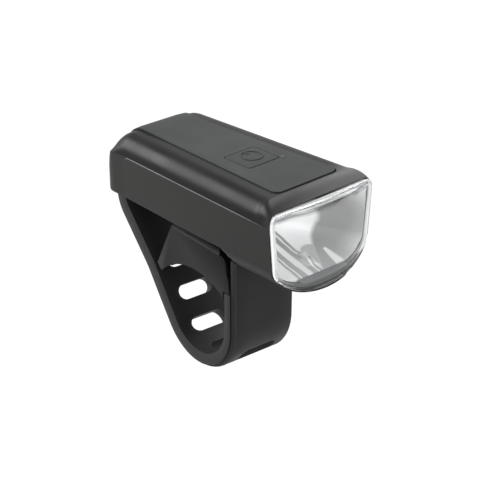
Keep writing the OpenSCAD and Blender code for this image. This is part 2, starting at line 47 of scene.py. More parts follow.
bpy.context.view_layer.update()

# %% [markdown]
# A part this small is easier to draw in millimetres, as on a drawing sheet. Each piece of the head
# is drawn straight ahead, and one step at the end turns it with the head and shrinks it to metres.
# The pieces of the mount are only shrunk. That step works on the mesh, so the object itself stays
# at the origin.

# %% Small helpers
MM = 0.001
HEAD_TURN = math.radians(5)
HEAD_AXES = Matrix.Rotation(HEAD_TURN, 3, "Z")
HEAD_TO_FRAME = HEAD_AXES.to_4x4() @ Matrix.Scale(MM, 4)
MOUNT_TO_FRAME = Matrix.Scale(MM, 4)


def only(obj):
    """Selects one object alone and makes it the active one."""
    bpy.ops.object.select_all(action="DESELECT")
    obj.select_set(True)
    bpy.context.view_layer.objects.active = obj


def clamp(t, low=0.0, high=1.0):
    return max(low, min(high, t))


def ease(t):
    t = clamp(t)
    return t * t * (3 - 2 * t)


print("the head is turned by", round(math.degrees(HEAD_TURN), 1), "degrees")

# %% [markdown]
# Edit mode works on what is selected. So each step there has the same frame: enter edit mode, select
# the right corners, edges or faces, do one thing to them, and leave again.

# %% Helpers for edit mode
def edit_where(obj, kind, wanted):
    """Edit mode, with the corners, edges or faces selected for which wanted(part) is true."""
    only(obj)
    bpy.ops.object.mode_set(mode="EDIT")
    bpy.ops.mesh.select_mode(type=kind)
    bpy.ops.mesh.select_all(action="DESELECT")
    drawing = bmesh.from_edit_mesh(obj.data)
    parts = {"VERT": drawing.verts, "EDGE": drawing.edges, "FACE": drawing.faces}[kind]
    for part in parts:
        if wanted(part):
            part.select_set(True)
    bmesh.update_edit_mesh(obj.data)


def edit_all(obj):
    """Edit mode, with everything selected."""
    only(obj)
    bpy.ops.object.mode_set(mode="EDIT")
    bpy.ops.mesh.select_all(action="SELECT")


def stop_editing():
    bpy.ops.object.mode_set(mode="OBJECT")


def turn_faces(inside=False):
    """In edit mode, makes all faces look outwards, or inwards."""
    bpy.ops.mesh.select_all(action="SELECT")
    bpy.ops.mesh.normals_make_consistent(inside=inside)


def close_open_edges(obj, wanted, inside=False):
    """Puts a face on the open edges for which wanted(middle point) is true."""
    edit_where(obj, "EDGE", lambda e: e.is_boundary and wanted((e.verts[0].co + e.verts[1].co) / 2))
    bpy.ops.mesh.edge_face_add()
    turn_faces(inside)
    stop_editing()


def tidy_mesh(obj, merge=0.004):
    """Merges points that lie together, drops faces without area and turns the rest outwards."""
    edit_all(obj)
    bpy.ops.mesh.remove_doubles(threshold=merge)
    bpy.ops.mesh.dissolve_degenerate(threshold=0.001)
    turn_faces()
    stop_editing()


def bevel_edges(obj, width, segments, wanted):
    edit_where(obj, "EDGE", wanted)
    bpy.ops.mesh.bevel(offset=width, segments=segments, affect="EDGES")
    stop_editing()


# %% [markdown]
# Cuts and rounded edges are modifiers, applied at once so that the next step works on their result. A
# finished piece is smoothed, brought into the frame, and tied to the body it moves with.

# %% Helpers for modifiers and finished pieces
def settle(obj):
    """Puts an object's own place into its mesh, so that the object lies at the origin."""
    obj.data.transform(obj.matrix_world)
    obj.matrix_world = Matrix.Identity(4)


def modify(obj, kind, **settings):
    """Adds one modifier with its settings and applies it."""
    only(obj)
    modifier = obj.modifiers.new(kind.lower(), kind)
    for key, value in settings.items():
        setattr(modifier, key, value)
    bpy.ops.object.modifier_apply(modifier=modifier.name)


def cut(obj, tool, operation="DIFFERENCE"):
    modify(obj, "BOOLEAN", object=tool, operation=operation, solver="MANIFOLD")
    bpy.data.objects.remove(tool)


def round_edges(obj, width, segments=2, angle=40):
    modify(obj, "BEVEL", width=width, segments=segments, limit_method="ANGLE",
           angle_limit=math.radians(angle), use_clamp_overlap=True, miter_outer="MITER_ARC")


def finish_piece(obj, name, body, material, stands_for=(), smooth=35, to_frame=HEAD_TO_FRAME):
    """Smooths a drawn piece, brings it into the frame and hangs it on its body."""
    only(obj)
    bpy.ops.object.shade_smooth_by_angle(angle=math.radians(smooth))
    settle(obj)
    obj.data.transform(to_frame)
    obj.name = name
    obj.data.name = name
    obj.data.materials.clear()
    obj.data.materials.append(material)
    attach(obj, body)
    if stands_for:
        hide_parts(*stands_for)
    size = [round(1000 * d, 1) for d in obj.dimensions]
    print(name, "is", size, "mm, with", len(obj.data.polygons), "faces")


# %% [markdown]
# Two ways to start a piece come back again and again. A sheet starts as a flat grid whose rows are
# laid along the object, one section after the other: Blender numbers a grid's points and faces row by
# row, so a point's number tells its row and column. A block starts as a cube or a cylinder at its size
# and place.

# %% Ways to start a piece
def grid_sheet(name, cols, rows, place):
    """A grid of cols by rows points, each laid where place(col, row) says."""
    bpy.ops.mesh.primitive_grid_add(x_subdivisions=cols - 1, y_subdivisions=rows - 1, size=2)
    obj = bpy.context.object
    obj.name = name
    for v in obj.data.vertices:
        row, col = divmod(v.index, cols)
        v.co = place(col, row)
    return obj


def add_object(name, data):
    obj = bpy.data.objects.new(name, data)
    bpy.context.scene.collection.objects.link(obj)
    return obj


def block(low, high):
    bpy.ops.mesh.primitive_cube_add(size=1)
    obj = bpy.context.object
    for v in obj.data.vertices:
        v.co = [low[i] if v.co[i] < 0 else high[i] for i in range(3)]
    return obj


def rod(radius, start, end, sides=48):
    """A cylinder from one point to another."""
    start, end = Vector(start), Vector(end)
    bpy.ops.mesh.primitive_cylinder_add(vertices=sides, radius=radius, depth=(end - start).length)
    obj = bpy.context.object
    turn = (end - start).to_track_quat("Z", "Y").to_matrix().to_4x4()
    obj.data.transform(Matrix.Translation((start + end) / 2) @ turn)
    return obj


def join(first, *others):
    only(first)
    for obj in others:
        obj.select_set(True)
    bpy.ops.object.join()
    return first


# %% [markdown]
# Finishes are trees of shader nodes. Two jobs come back in all of them: adding a node, and giving a
# socket either a plain value or another node's output. With these as functions, the sum of two masks
# is one line and a whole finish stays short enough to read.

# %% Helpers for shader nodes
def add_node(tree, kind, **settings):
    node = tree.nodes.new("ShaderNode" + kind)
    for key, value in settings.items():
        setattr(node, key, value)
    return node


def feed(tree, node, values):
    """Gives each of a node's sockets a plain value, or the output that flows into it."""
    for key, value in values.items():
        if isinstance(value, bpy.types.NodeSocket):
            tree.links.new(value, node.inputs[key])
        else:
            node.inputs[key].default_value = value


def object_place(tree):
    return add_node(tree, "TexCoord").outputs["Object"]


def place_along(tree, direction):
    """How far a place lies along a direction of the frame, in millimetres."""
    node = add_node(tree, "VectorMath", operation="DOT_PRODUCT")
    feed(tree, node, {0: object_place(tree), 1: Vector(direction) / MM})
    return node.outputs["Value"]


def calc(tree, operation, *values, clamped=False):
    node = add_node(tree, "Math", operation=operation, use_clamp=clamped)
    feed(tree, node, dict(enumerate(values)))
    return node.outputs[0]


def noise(tree, place, scale, detail):
    node = add_node(tree, "TexNoise")
    feed(tree, node, {"Vector": place, "Scale": scale, "Detail": detail})
    return node.outputs["Fac"]


def remap(tree, value, low, high, to_low=0.0, to_high=1.0, shape="LINEAR"):
    node = add_node(tree, "MapRange", interpolation_type=shape)
    feed(tree, node, {"Value": value, "From Min": low, "From Max": high, "To Min": to_low, "To Max": to_high})
    return node.outputs["Result"]


def soft_step(tree, value, low, high):
    """0 below low and 1 above high, or the other way round when low is the larger."""
    ends = (0.0, 1.0) if low < high else (1.0, 0.0)
    return remap(tree, value, min(low, high), max(low, high), *ends, "SMOOTHSTEP")


def blend(tree, kind, share, first, second):
    node = add_node(tree, "Mix", data_type="RGBA", blend_type=kind)
    feed(tree, node, {"Factor": share, "A": first, "B": second})
    return node.outputs["Result"]


def mix_shaders(tree, share, first, second, output="Material Output"):
    node = add_node(tree, "MixShader")
    feed(tree, node, {0: share, 1: first, 2: second})
    feed(tree, tree.nodes[output], {"Surface": node.outputs["Shader"]})


# %% [markdown]
# Moulded plastic and rubber have a fine skin: a grain about 0.02 mm deep that breaks up the gloss.
# Several finishes share it, so it is a node group with its own inputs. It reads Object coordinates,
# which are metres here, so a scale of 7000 means grains about 0.15 mm across. A picture of the
# grain could be laid on instead, but noise needs no unwrapping.

# %% The moulded skin, as a node group
SKIN = bpy.data.node_groups.new("moulded_skin", "ShaderNodeTree")
for label, value in [("Grain Scale", 7000.0), ("Cloud Scale", 90.0)]:
    SKIN.interface.new_socket(label, in_out="INPUT", socket_type="NodeSocketFloat").default_value = value
for label in ("Height", "Tone", "Gloss"):
    SKIN.interface.new_socket(label, in_out="OUTPUT", socket_type="NodeSocketFloat")
skin_in, skin_out = SKIN.nodes.new("NodeGroupInput"), SKIN.nodes.new("NodeGroupOutput")
grain = noise(SKIN, object_place(SKIN), skin_in.outputs["Grain Scale"], 2.0)
clouds = noise(SKIN, object_place(SKIN), skin_in.outputs["Cloud Scale"], 4.0)
mottle = calc(SKIN, "MULTIPLY_ADD", grain, 0.5, calc(SKIN, "MULTIPLY", clouds, 0.5))
feed(SKIN, skin_out, {"Height": grain, "Tone": mottle, "Gloss": clouds})
print("node group", SKIN.name, "has", len(SKIN.nodes), "nodes")

# %% [markdown]
# Each finish takes the skin and adds its own colour, gloss and depth of grain. Colours are written as
# they look on a screen, from 0 to 255, and turned into the linear numbers that shaders work with.

# %% Finishes from the moulded skin
BUMP_STRENGTH, GLOSS_SPREAD = 0.35, 0.05


def grey(value):
    """A colour from its sRGB grey, 0 to 255, or from three such numbers."""
    steps = value if isinstance(value, (tuple, list)) else (value,) * 3
    linear = [(c / 255 / 12.92) if c < 10.3 else ((c / 255 + 0.055) / 1.055) ** 2.4 for c in steps]
    return (*linear, 1.0)


def new_material(name):
    mat = bpy.data.materials.new(name)
    mat.use_nodes = True
    return mat, mat.node_tree, mat.node_tree.nodes["Principled BSDF"]


def skin_finish(name, colour, rough, grain=7000.0, depth=0.00002, spread=0.12, metal=0.0, specular=0.5):
    mat, tree, shader = new_material(name)
    skin = add_node(tree, "Group", node_tree=SKIN)
    skin.inputs["Grain Scale"].default_value = grain
    darker, lighter = [(*[c * share for c in grey(colour)[:3]], 1) for share in (1 - spread, 1 + spread)]
    bump = add_node(tree, "Bump")
    feed(tree, bump, {"Height": skin.outputs["Height"], "Strength": BUMP_STRENGTH, "Distance": depth})
    glossy, dull = max(rough - GLOSS_SPREAD, 0.02), rough + GLOSS_SPREAD
    feed(tree, shader, {
        "Base Color": blend(tree, "MIX", skin.outputs["Tone"], darker, lighter),
        "Roughness": remap(tree, skin.outputs["Gloss"], 0.3, 0.7, glossy, dull),
        "Normal": bump.outputs["Normal"], "Metallic": metal, "Specular IOR Level": specular})
    return mat


# %% The finishes
black_plastic = skin_finish("black_plastic", (16, 16, 17), 0.38, specular=0.1)
side_plastic = skin_finish("side_plastic", (23, 22, 21), 0.46, specular=0.2)
pad_rubber = skin_finish("pad_rubber", (37, 39, 38), 0.66, grain=5200, depth=0.00003, specular=0.18)
strap_rubber = skin_finish("strap_rubber", 27, 0.55, grain=5200, depth=0.00003, specular=0.2)
liner_rubber = skin_finish("liner_rubber", 30, 0.8)
shroud_plastic = skin_finish("shroud_plastic", (92, 95, 97), 0.35)
steel = skin_finish("steel", (175, 177, 180), 0.3, grain=3000, metal=1.0)
nylon = skin_finish("nylon", (214, 208, 196), 0.5)
foam = skin_finish("foam", (220, 214, 202), 0.9, grain=3000)
board_green = skin_finish("board_green", (24, 84, 50), 0.4)
foil = skin_finish("foil", (160, 166, 172), 0.35, grain=2500, metal=0.8)
phosphor = skin_finish("phosphor", (196, 198, 195), 0.4)
aluminium = skin_finish("aluminium", (184, 187, 190), 0.35, grain=2500, metal=1.0)
board_white = skin_finish("board_white", (226, 226, 222), 0.45)
switch_plastic = skin_finish("switch_plastic", 60, 0.5)
light_pipe = skin_finish("light_pipe", (38, 39, 38), 0.5, specular=0.2)
# A paler grey for the fine line at the parting: a painted highlight.
worn_edge = skin_finish("worn_edge", 66, 0.4, specular=0.25)
gasket_silicone = skin_finish("gasket_silicone", (206, 208, 209), 0.4)
print(len(bpy.data.materials), "finishes so far")

# %% [markdown]
# A few finishes change along the object. The housing is painted paler towards its front, a painted
# sheen; the lens's gasket is darker towards its foot; and the step along the strap's edge is painted
# darker, a painted shade. A colour ramp does this: it is given greys at places measured in millimetres
# along one direction.

# %% Greys along one direction
def ramp(tree, value, stops):
    """Greys at the given values, mixed evenly in between."""
    start, end = stops[0][0], stops[-1][0]
    node = add_node(tree, "ValToRGB")
    elements = node.color_ramp.elements
    while len(elements) < len(stops):
        elements.new(0.5)
    for element, (at, tone) in zip(elements, stops):
        element.position = (at - start) / (end - start)
        element.color = grey(tone)
    feed(tree, node, {"Fac": remap(tree, value, start, end)})
    return node.outputs["Color"]


def tint_along(mat, direction, stops, kind, both_sides=False):
    """Adds greys to a finish, or multiplies it by them, at places along one direction."""
    tree = mat.node_tree
    place = place_along(tree, direction)
    if both_sides:
        place = calc(tree, "ABSOLUTE", place)
    base = tree.nodes["Principled BSDF"].inputs["Base Color"]
    tree.links.new(blend(tree, kind, 1.0, base.links[0].from_socket, ramp(tree, place, stops)), base)


# The housing's front is painted paler along this direction: a painted sheen on the nose.
SHEEN_WAY, PAINTED_SHEEN = (0.3, -0.95, 0), [(28.5, 0), (31.0, 30), (35.5, 82), (38.0, 90)]
# The gasket's grey is multiplied darker towards its foot.
GASKET_FOOT_DARKER = [(23.5, 100), (30.0, 255)]
# Painted shade: the rib's side wall and the step's floor along each edge of the strap are darkened.
STRAP_STEP_SHADE = [(9.0, 255), (9.93, 255), (9.945, 110), (9.96, 110), (9.985, 60), (10.18, 60), (10.22, 255),
              (11.0, 255)]
tint_along(black_plastic, SHEEN_WAY, PAINTED_SHEEN, "ADD")
tint_along(gasket_silicone, (0, 0, 1), GASKET_FOOT_DARKER, "MULTIPLY")
tint_along(strap_rubber, (1, 0, 0), STRAP_STEP_SHADE, "MULTIPLY", both_sides=True)
print("the strap's rubber has", len(strap_rubber.node_tree.nodes), "nodes")

# %% [markdown]
# The lens is clear plastic, with fine streaks along its top edge. The shader is a plain glass for the
# rays that come from the camera. Rays that ask whether a lamp is hidden, and those on their way out
# again from the reflector, pass straight through, so the reflector behind the lens is lit and shows
# the room. A ray bent by glass counts as glossy too, so it is taken off that mask again.

# %% Clear plastic
CLEAR, STREAK = (250, 251, 252), (112, 116, 117)
STREAKS_FROM_Z, STREAKS_FULL_Z, STREAK_SCALE = 42.8, 43.6, (45, 900, 900)

clear_plastic, clear, clear_shader = new_material("clear_plastic")
drawn_out = add_node(clear, "Mapping")
feed(clear, drawn_out, {"Vector": object_place(clear), "Scale": STREAK_SCALE})
streaks = remap(clear, noise(clear, drawn_out.outputs["Vector"], 1.0, 3.0), 0.38, 0.62)
top_edge = remap(clear, place_along(clear, (0, 0, 1)), STREAKS_FROM_Z, STREAKS_FULL_Z)
clear_tint = blend(clear, "MIX", calc(clear, "MULTIPLY", top_edge, streaks), grey(CLEAR), grey(STREAK))
feed(clear, clear_shader, {"Base Color": clear_tint, "Specular Tint": clear_tint, "Roughness": 0.02,
                           "IOR": 1.49, "Transmission Weight": 1.0})
rays = add_node(clear, "LightPath").outputs
mirrored = calc(clear, "SUBTRACT", rays["Is Glossy Ray"], rays["Is Transmission Ray"], clamped=True)
passing = calc(clear, "MAXIMUM", rays["Is Shadow Ray"], mirrored)
passing = calc(clear, "MAXIMUM", passing, rays["Is Diffuse Ray"])
see_through = add_node(clear, "BsdfTransparent")
mix_shaders(clear, passing, clear_shader.outputs["BSDF"], see_through.outputs["BSDF"])
print("clear plastic has", len(clear.nodes), "nodes")

# %% [markdown]
# The head is one moulded form, split into a lower half, a top half and the rubber pad. It is drawn
# once, as a skin of sections from the lens to the rear, so that the three pieces meet exactly. A
# section is a row of points from the middle of the underside, round the side and the shoulder, to
# the middle of the top. Each piece could be carved from its own block, but then their edges would
# have to be fitted to each other.

# %% Outlines of the head, in millimetres
LENS_Y, SHELL_Y, FRONT_HALF = -36.7, -36.2, 18.5
UNDER_Z, PARTING_Z, TOP_Z = 29.0, 41.5, 47.2
KEEL_Z, KEEL_DROP = 29.5, 9.0
CHIN_FROM, CHIN_RUN, CHIN_DROP = -16.5, 9.5, 8.5
BROW_FROM, BROW_RUN, BROW_DROP = -32.2, 4.5, 2.3
SHOULDER, SHOULDER_FROM, SHOULDER_RUN, SHOULDER_LOSS = 5.4, -30.0, 6.4, 3.0
SIDE_DRAFT, DRAFT_RUN, SIDE_SOFT = 1.1, 12.0, 0.4
TAPER, PAD_TAPER = math.tan(math.radians(2.5)), math.tan(math.radians(2.9))
PAD_HALF, PAD_FRONT, PAD_GAP, PAD_CORNER = 9.65, -31.5, 0.4, 2.2


def soft_max(a, b, k=0.5):
    """The larger of two numbers, with a round change from one to the other."""
    h = clamp(0.5 + 0.5 * (a - b) / k)
    return b + (a - b) * h + k * h * (1 - h)


def half_width(y):
    return FRONT_HALF - (y - LENS_Y) * TAPER


def roof(y):
    return TOP_Z - BROW_DROP * clamp((BROW_FROM - y) / BROW_RUN) ** 1.5


def shoulder(y):
    return SHOULDER - SHOULDER_LOSS * ease((SHOULDER_FROM - y) / SHOULDER_RUN)


def chin(y):
    return UNDER_Z - CHIN_DROP * (1 - math.cos(math.pi * clamp((CHIN_FROM - y) / CHIN_RUN))) / 2


def side_x(y, z):
    """Half the head's width at a height: the sides draw in a little towards the chin."""
    drawn_in = FRONT_HALF - SIDE_DRAFT * clamp((PARTING_Z - z) / DRAFT_RUN)
    return -soft_max(-half_width(y), -drawn_in, SIDE_SOFT)


def keel(y, angle):
    """A point (x, z) of the round underside, at an angle from its middle."""
    return side_x(y, KEEL_Z) * math.sin(angle), KEEL_Z - KEEL_DROP * math.cos(angle)


def bulge(x):
    """The lens's bulge across the head, from 1 in the middle to 0 at the sides."""
    return 1 - (x / FRONT_HALF) ** 2


def round_start(edge, y, start, r):
    """An edge line that turns in, with radius r, where it begins at start."""
    d = clamp(y - start, 0, r)
    return edge - r + math.sqrt(max(r * r - (r - d) ** 2, 0))


def pad_edge(y, gap=0.0):
    """The pad's edge in plan, or with a gap the edge of the bed that it lies in."""
    return round_start(PAD_HALF - y * PAD_TAPER + gap, y, PAD_FRONT - gap, PAD_CORNER + gap)


print("half the head's width:", FRONT_HALF, "mm at the lens and", round(half_width(24), 1), "mm at the rear")

# %% [markdown]
# One section is made of three runs: the underside up to the parting line, the round shoulder, and the
# flat top with the pad. The points lie closer together where the form turns quickly.

# %% A section of the head
UNDER_STEPS = [0, .13, .26, .39, .52, .64, .75, .84, .91, .955, .98, .993, 1.0]
SIDE_HEIGHTS = [31.5, 34.0, 36.5, 39.0, 40.4]
ARC_STEPS = 10
PAD_SHARES = [1.0, 0.8, 0.6, 0.4, 0.2, 0.0]
PART_COL = len(UNDER_STEPS) + len(SIDE_HEIGHTS)
BED_COL = PART_COL + ARC_STEPS + 1
PAD_COL = BED_COL + 1


def half_section(y):
    """Points (x, z) of the right half, from the underside's middle to the top's middle."""
    w, r, top = half_width(y), shoulder(y), roof(y)
    points = []
    for t in UNDER_STEPS:
        x, z = keel(y, t * math.pi / 2)
        points.append((x, soft_max(chin(y), z)))
    points += [(side_x(y, z), z) for z in SIDE_HEIGHTS]
    start = math.asin(clamp((PARTING_Z - top + r) / r))
    points.append((w - r + r * math.cos(start), PARTING_Z))
    for i in range(1, ARC_STEPS + 1):
        a = start + (math.pi / 2 - start) * i / ARC_STEPS
        points.append((w - r + r * math.cos(a), top - r + r * math.sin(a)))
    points.append((pad_edge(y, PAD_GAP), top))
    points += [(pad_edge(y) * share, top) for share in PAD_SHARES]
    return points


HALF = len(half_section(0))
RING = 2 * HALF - 2


def ring_point(points, i):
    """The i-th point of a whole section, from its right half."""
    ring = 2 * len(points) - 2
    i = i % ring
    return points[i] if i < len(points) else (-points[ring - i][0], points[ring - i][1])


print("a section has", RING, "points")

# %% [markdown]
# The main rows of the skin stand across the head. At the rear the rows swing over: each one is
# lower and further back than the last, so the top rolls down into the rear wall and its corners
# turn round. Each face is then given a sort, by the piece that it will belong to. The rear could be
# a cap of its own, but rows that go on keep the surface smooth.

# %% Rows of the skin, and the rear
REAR_TOP_Y, REAR_TOP_Z, REAR_ROUND, REAR_CORNER = 24.55, 40.7, 6.5, 5.0
TAIL_END_Y, REAR_LEAN, REAR_ANGLE, REAR_EDGE = 34.7, 4.6, math.radians(31.4), 1.4
REAR_PINCH, PINCH_RUN = 0.24, 3.5
LIP_DEGREES, PAD_END_DEGREES = 58.6, 79.5
front_rows = [SHELL_Y, -35.7, -35.1, -34.4, -33.7, -33.1, -32.5, PAD_FRONT - PAD_GAP, PAD_FRONT,
              -31.42, -31.3, -31.05, -30.7, -30.2, -29.6, -29.2, -28.4, -27.4, -26.6]
step_rows = [-26.0 + 0.75 * i for i in range(14)]
back_rows = [-14.0 + 3.0 * i for i in range(13)] + [24.0]
main_rows = front_rows + step_rows + back_rows
rear_angles = [0, 9, 18, 27, 36, 45, 52, LIP_DEGREES, 64, 70, 75, PAD_END_DEGREES, 83, 87, 90]
PAD_ROW = front_rows.index(PAD_FRONT)
PAD_LAST = len(main_rows) + rear_angles.index(PAD_END_DEGREES)
LIP_ANGLE, LIP_Z = math.radians(LIP_DEGREES), REAR_TOP_Z + REAR_ROUND * math.sin(REAR_ANGLE)
rear_half = half_section(REAR_TOP_Y)
rear_core = half_width(REAR_TOP_Y) - REAR_CORNER


def rear_wall(z):
    """Where the rear wall stands at a height: it leans out towards its foot."""
    return TAIL_END_Y - REAR_LEAN * max((z - UNDER_Z) / (LIP_Z - UNDER_Z), 0) ** 2


def rear_profile(a):
    """The middle line of the rear: round over the top, then down the wall to where the side begins."""
    if a <= LIP_ANGLE:
        return REAR_TOP_Y + REAR_ROUND * math.sin(a), REAR_TOP_Z + REAR_ROUND * math.cos(a)
    z = LIP_Z + (REAR_TOP_Z - LIP_Z) * (a - LIP_ANGLE) / (math.pi / 2 - LIP_ANGLE)
    return rear_wall(z), z


def skin_point(col, row):
    if row < len(main_rows):
        x, z = ring_point(half_section(main_rows[row]), col)
        return x, main_rows[row], z
    y, z = rear_profile(math.radians(rear_angles[row - len(main_rows)]))
    back = clamp((y - REAR_TOP_Y) / (rear_wall(REAR_TOP_Z) - REAR_TOP_Y))
    down = (z - REAR_TOP_Z) / REAR_ROUND
    x, z = ring_point(rear_half, col)
    end = rear_wall(min(z, REAR_TOP_Z))
    y = REAR_TOP_Y + (end - REAR_TOP_Y) * back
    if abs(x) > rear_core:
        turn = clamp((y - TAIL_END_Y + REAR_CORNER) / REAR_CORNER)
        soft = clamp((y - end + REAR_EDGE) / REAR_EDGE)
        reach = math.sqrt(1 - turn * turn) - REAR_EDGE / REAR_CORNER * (1 - math.sqrt(1 - soft * soft))
        reach *= 1 - REAR_PINCH * back * ease((z - PARTING_Z) / PINCH_RUN)
        x = math.copysign(rear_core + (abs(x) - rear_core) * max(reach, 0), x)
    return x, y, REAR_TOP_Z + (z - REAR_TOP_Z) * down if z > REAR_TOP_Z else z


# %% Lay the skin and sort its faces
LOWER, TOP, PAD, SLIT = range(4)
skin = grid_sheet("head_skin", RING + 1, len(main_rows) + len(rear_angles), skin_point)
for label in ("lower", "top", "pad", "slit"):
    skin.data.materials.append(bpy.data.materials.new("sort_" + label))
for face in skin.data.polygons:
    row, col = divmod(face.index, RING)
    k = min(col, RING - 1 - col)
    kind = LOWER if k < PART_COL else TOP
    if k >= BED_COL and PAD_ROW - 1 <= row <= PAD_LAST:
        kind = PAD if (k >= PAD_COL and PAD_ROW <= row < PAD_LAST) else SLIT
    face.material_index = kind
tidy_mesh(skin)
print("the head's skin has", len(skin.data.polygons), "faces")

# %% [markdown]
# The skin is still open at the rear. One large face closes it, and lines across that face at the
# heights of the side's points divide it into plainer ones. Then the sorts are parted, the slits
# between housing and pad are thrown away, and the two shells get their wall.

# %% Close the rear and part the skin
WALL = 1.8


def take_off(kind, name):
    """Parts the faces of one sort from the skin, as an object of their own."""
    edit_where(skin, "FACE", lambda f: f.material_index == kind)
    bpy.ops.mesh.separate(type="SELECTED")
    stop_editing()
    obj = [o for o in bpy.context.selected_objects if o is not skin][0]
    obj.name = name
    return obj


close_open_edges(skin, lambda p: p.y > 20)
for height in SIDE_HEIGHTS:
    rear_face = max(skin.data.polygons, key=lambda p: len(p.vertices))
    corners = set(rear_face.vertices)
    edit_where(skin, "VERT", lambda v: v.index in corners and abs(v.co.z - height) < 0.01)
    bpy.ops.mesh.vert_connect()
    stop_editing()
top_shell = take_off(TOP, "top_shell")
pad_sheet = take_off(PAD, "pad_sheet")
bpy.data.objects.remove(take_off(SLIT, "slit_strip"))
for shell in (skin, top_shell):
    modify(shell, "SOLIDIFY", thickness=WALL, offset=-1.0, use_even_offset=True, use_rim=True)
    tidy_mesh(shell)
print("faces:", [(o.name, len(o.data.polygons)) for o in (skin, top_shell, pad_sheet)])

# %% [markdown]
# The lower half carries the swivel boss, the wells of four screws and the charging port. Those are
# plain blocks and rods, added to the shell or cut out of it with Boolean modifiers.

# %% Boss, wells and port
BOSS_R, BOSS_LOW, BOSS_HIGH, PIVOT_R = 8.0, 25.6, 30.0, 2.05
WELL_R, WELL_LOW, WELL_HIGH = 2.1, 27.0, 30.6
SCREW_SPOTS = [(12.9, -16), (-12.9, -16), (11.8, 21.5), (-11.8, 21.5)]
FLAP_HALF, FLAP_IN, PORT_W, PORT_H, PORT_Z = 7.3, 29.8, 9.44, 3.7, 39.2


def slot_block(length, width, start, end):
    """A bar with round ends across X, along Y from start to end, centred at z = 0."""
    bpy.ops.mesh.primitive_cylinder_add(vertices=40, radius=width / 2, depth=end - start)
    obj = bpy.context.object
    reach = (length - width) / 2
    for v in obj.data.vertices:
        v.co.x += reach if v.co.x > 0 else -reach
    obj.data.transform(Matrix.Translation((0, (start + end) / 2, 0)) @ Matrix.Rotation(math.pi / 2, 4, "X"))
    return obj


boss = rod(BOSS_R, (0, 0, BOSS_LOW), (0, 0, BOSS_HIGH), 64)
round_edges(boss, 0.4, 3)
cut(skin, boss, "UNION")
port_back = block((-8.5, 28.1, 30.2), (8.5, 33.0, 40.4))
for v in port_back.data.vertices:
    v.co.y = rear_wall(v.co.z) - 0.8 if v.co.y > 30 else v.co.y
cut(skin, port_back, "UNION")
cut(skin, rod(PIVOT_R, (0, 0, 20.0), (0, 0, 33.0)))
for x, y in SCREW_SPOTS:
    cut(skin, rod(WELL_R, (x, y, WELL_LOW), (x, y, WELL_HIGH), 32))
cut(skin, block((-FLAP_HALF, FLAP_IN, 33.5), (FLAP_HALF, 40.0, 43.0)))
cut(top_shell, block((-FLAP_HALF, FLAP_IN, 38.0), (FLAP_HALF, 40.0, 41.8)))
port = slot_block(PORT_W, PORT_H, 26.0, 40.0)
port.data.transform(Matrix.Translation((0, 0, PORT_Z)))
cut(skin, port)
print("lower half after its cuts:", len(skin.data.polygons), "faces")

# %% [markdown]
# A thin lip of the lower half runs out under the lens and carries its foot. It follows the round
# underside, reaches furthest in the middle, and runs out to nothing at both ends. A grid is laid
# along that line and given a thickness. It could be extruded from the shell's front edge, but a
# grid of its own can run out at its ends.

# %% The lip under the lens
FOOT_COLS, FOOT_ROWS, FOOT_START, FOOT_SPAN = 48, 6, -1.25, 2.3
FOOT_BACK_Y, FOOT_EDGE, FOOT_MIDDLE, FOOT_LOW_Z, FOOT_T = SHELL_Y + 0.3, 0.45, 2.75, 20.5, 0.3


def lens_foot_point(col, row):
    x, z = keel(LENS_Y, FOOT_START + FOOT_SPAN * col / FOOT_COLS)
    reach = (FOOT_EDGE + FOOT_MIDDLE * bulge(x)) * min(1, col / 4, (FOOT_COLS - col) / 14)
    return x, FOOT_BACK_Y + (LENS_Y - reach - FOOT_BACK_Y) * row / FOOT_ROWS, max(z, FOOT_LOW_Z)


lens_foot = grid_sheet("lens_foot", FOOT_COLS + 1, FOOT_ROWS + 1, lens_foot_point)
modify(lens_foot, "SOLIDIFY", thickness=FOOT_T, offset=0.0, use_rim=True)
tidy_mesh(lens_foot, 0.001)
round_edges(lens_foot, 0.1, 2)
print("the lip under the lens has", len(lens_foot.data.polygons), "faces")

# %% [markdown]
# Where the two halves meet, a fine raised line catches the light along each side. It fades out
# short of the lens. It is a slim bar laid along the parting line, narrower at both ends, and its
# finish is paler than the housing's, a painted highlight. It could be a pale stripe in the finish
# alone, but a raised bar catches the light from any side.

# %% The fine line along each side
LINE_PATH = [(23.7, 39.6), (23.75, 40.3), (23.65, 40.9), (23.3, 41.3), (22.6, 41.45)]
LINE_PATH += [(21.8 - 55.8 * i / 40, PARTING_Z) for i in range(41)]
LINE_RING = [(-0.08, -0.16), (-0.08, 0.2), (0.08, 0.14), (0.15, 0.0), (0.1, -0.12)]
UPRIGHT_ROWS = 3


def side_line(side):
    def point(col, row):
        y, z = LINE_PATH[row]
        out, up = LINE_RING[col % len(LINE_RING)]
        thin = min(1.0, 0.3 + row / 3, 0.1 + (len(LINE_PATH) - 1 - row) / 8)
        r = shoulder(y)
        rise = max(z - (roof(y) - r), 0)
        x = half_width(y) - r + math.sqrt(max(r * r - rise * rise, 0)) + out * thin
        return (side * x, y + up * thin, z) if row < UPRIGHT_ROWS else (side * x, y, z + up * thin)
    line = grid_sheet("side_line", len(LINE_RING) + 1, len(LINE_PATH), point)
    tidy_mesh(line, 0.001)
    return line


finish_piece(join(side_line(1), side_line(-1)), "seam_lines", "head", worn_edge)
finish_piece(join(skin, lens_foot), "lower_half", "head", side_plastic, ["lower_housing"], 30)
finish_piece(top_shell, "top_half", "head", black_plastic, ["top_housing"], 30)

# %% [markdown]
# The pad is the part of the skin between the two slits, given its own thickness and lifted a little
# so that it stands proud of the housing. The button is a rounded plate in a window of the pad, and
# a ring with a short bar on it, the common sign for power, stands up from its top. A sheet drawn
# for itself would have to be fitted to the housing, and the skin has that outline already.

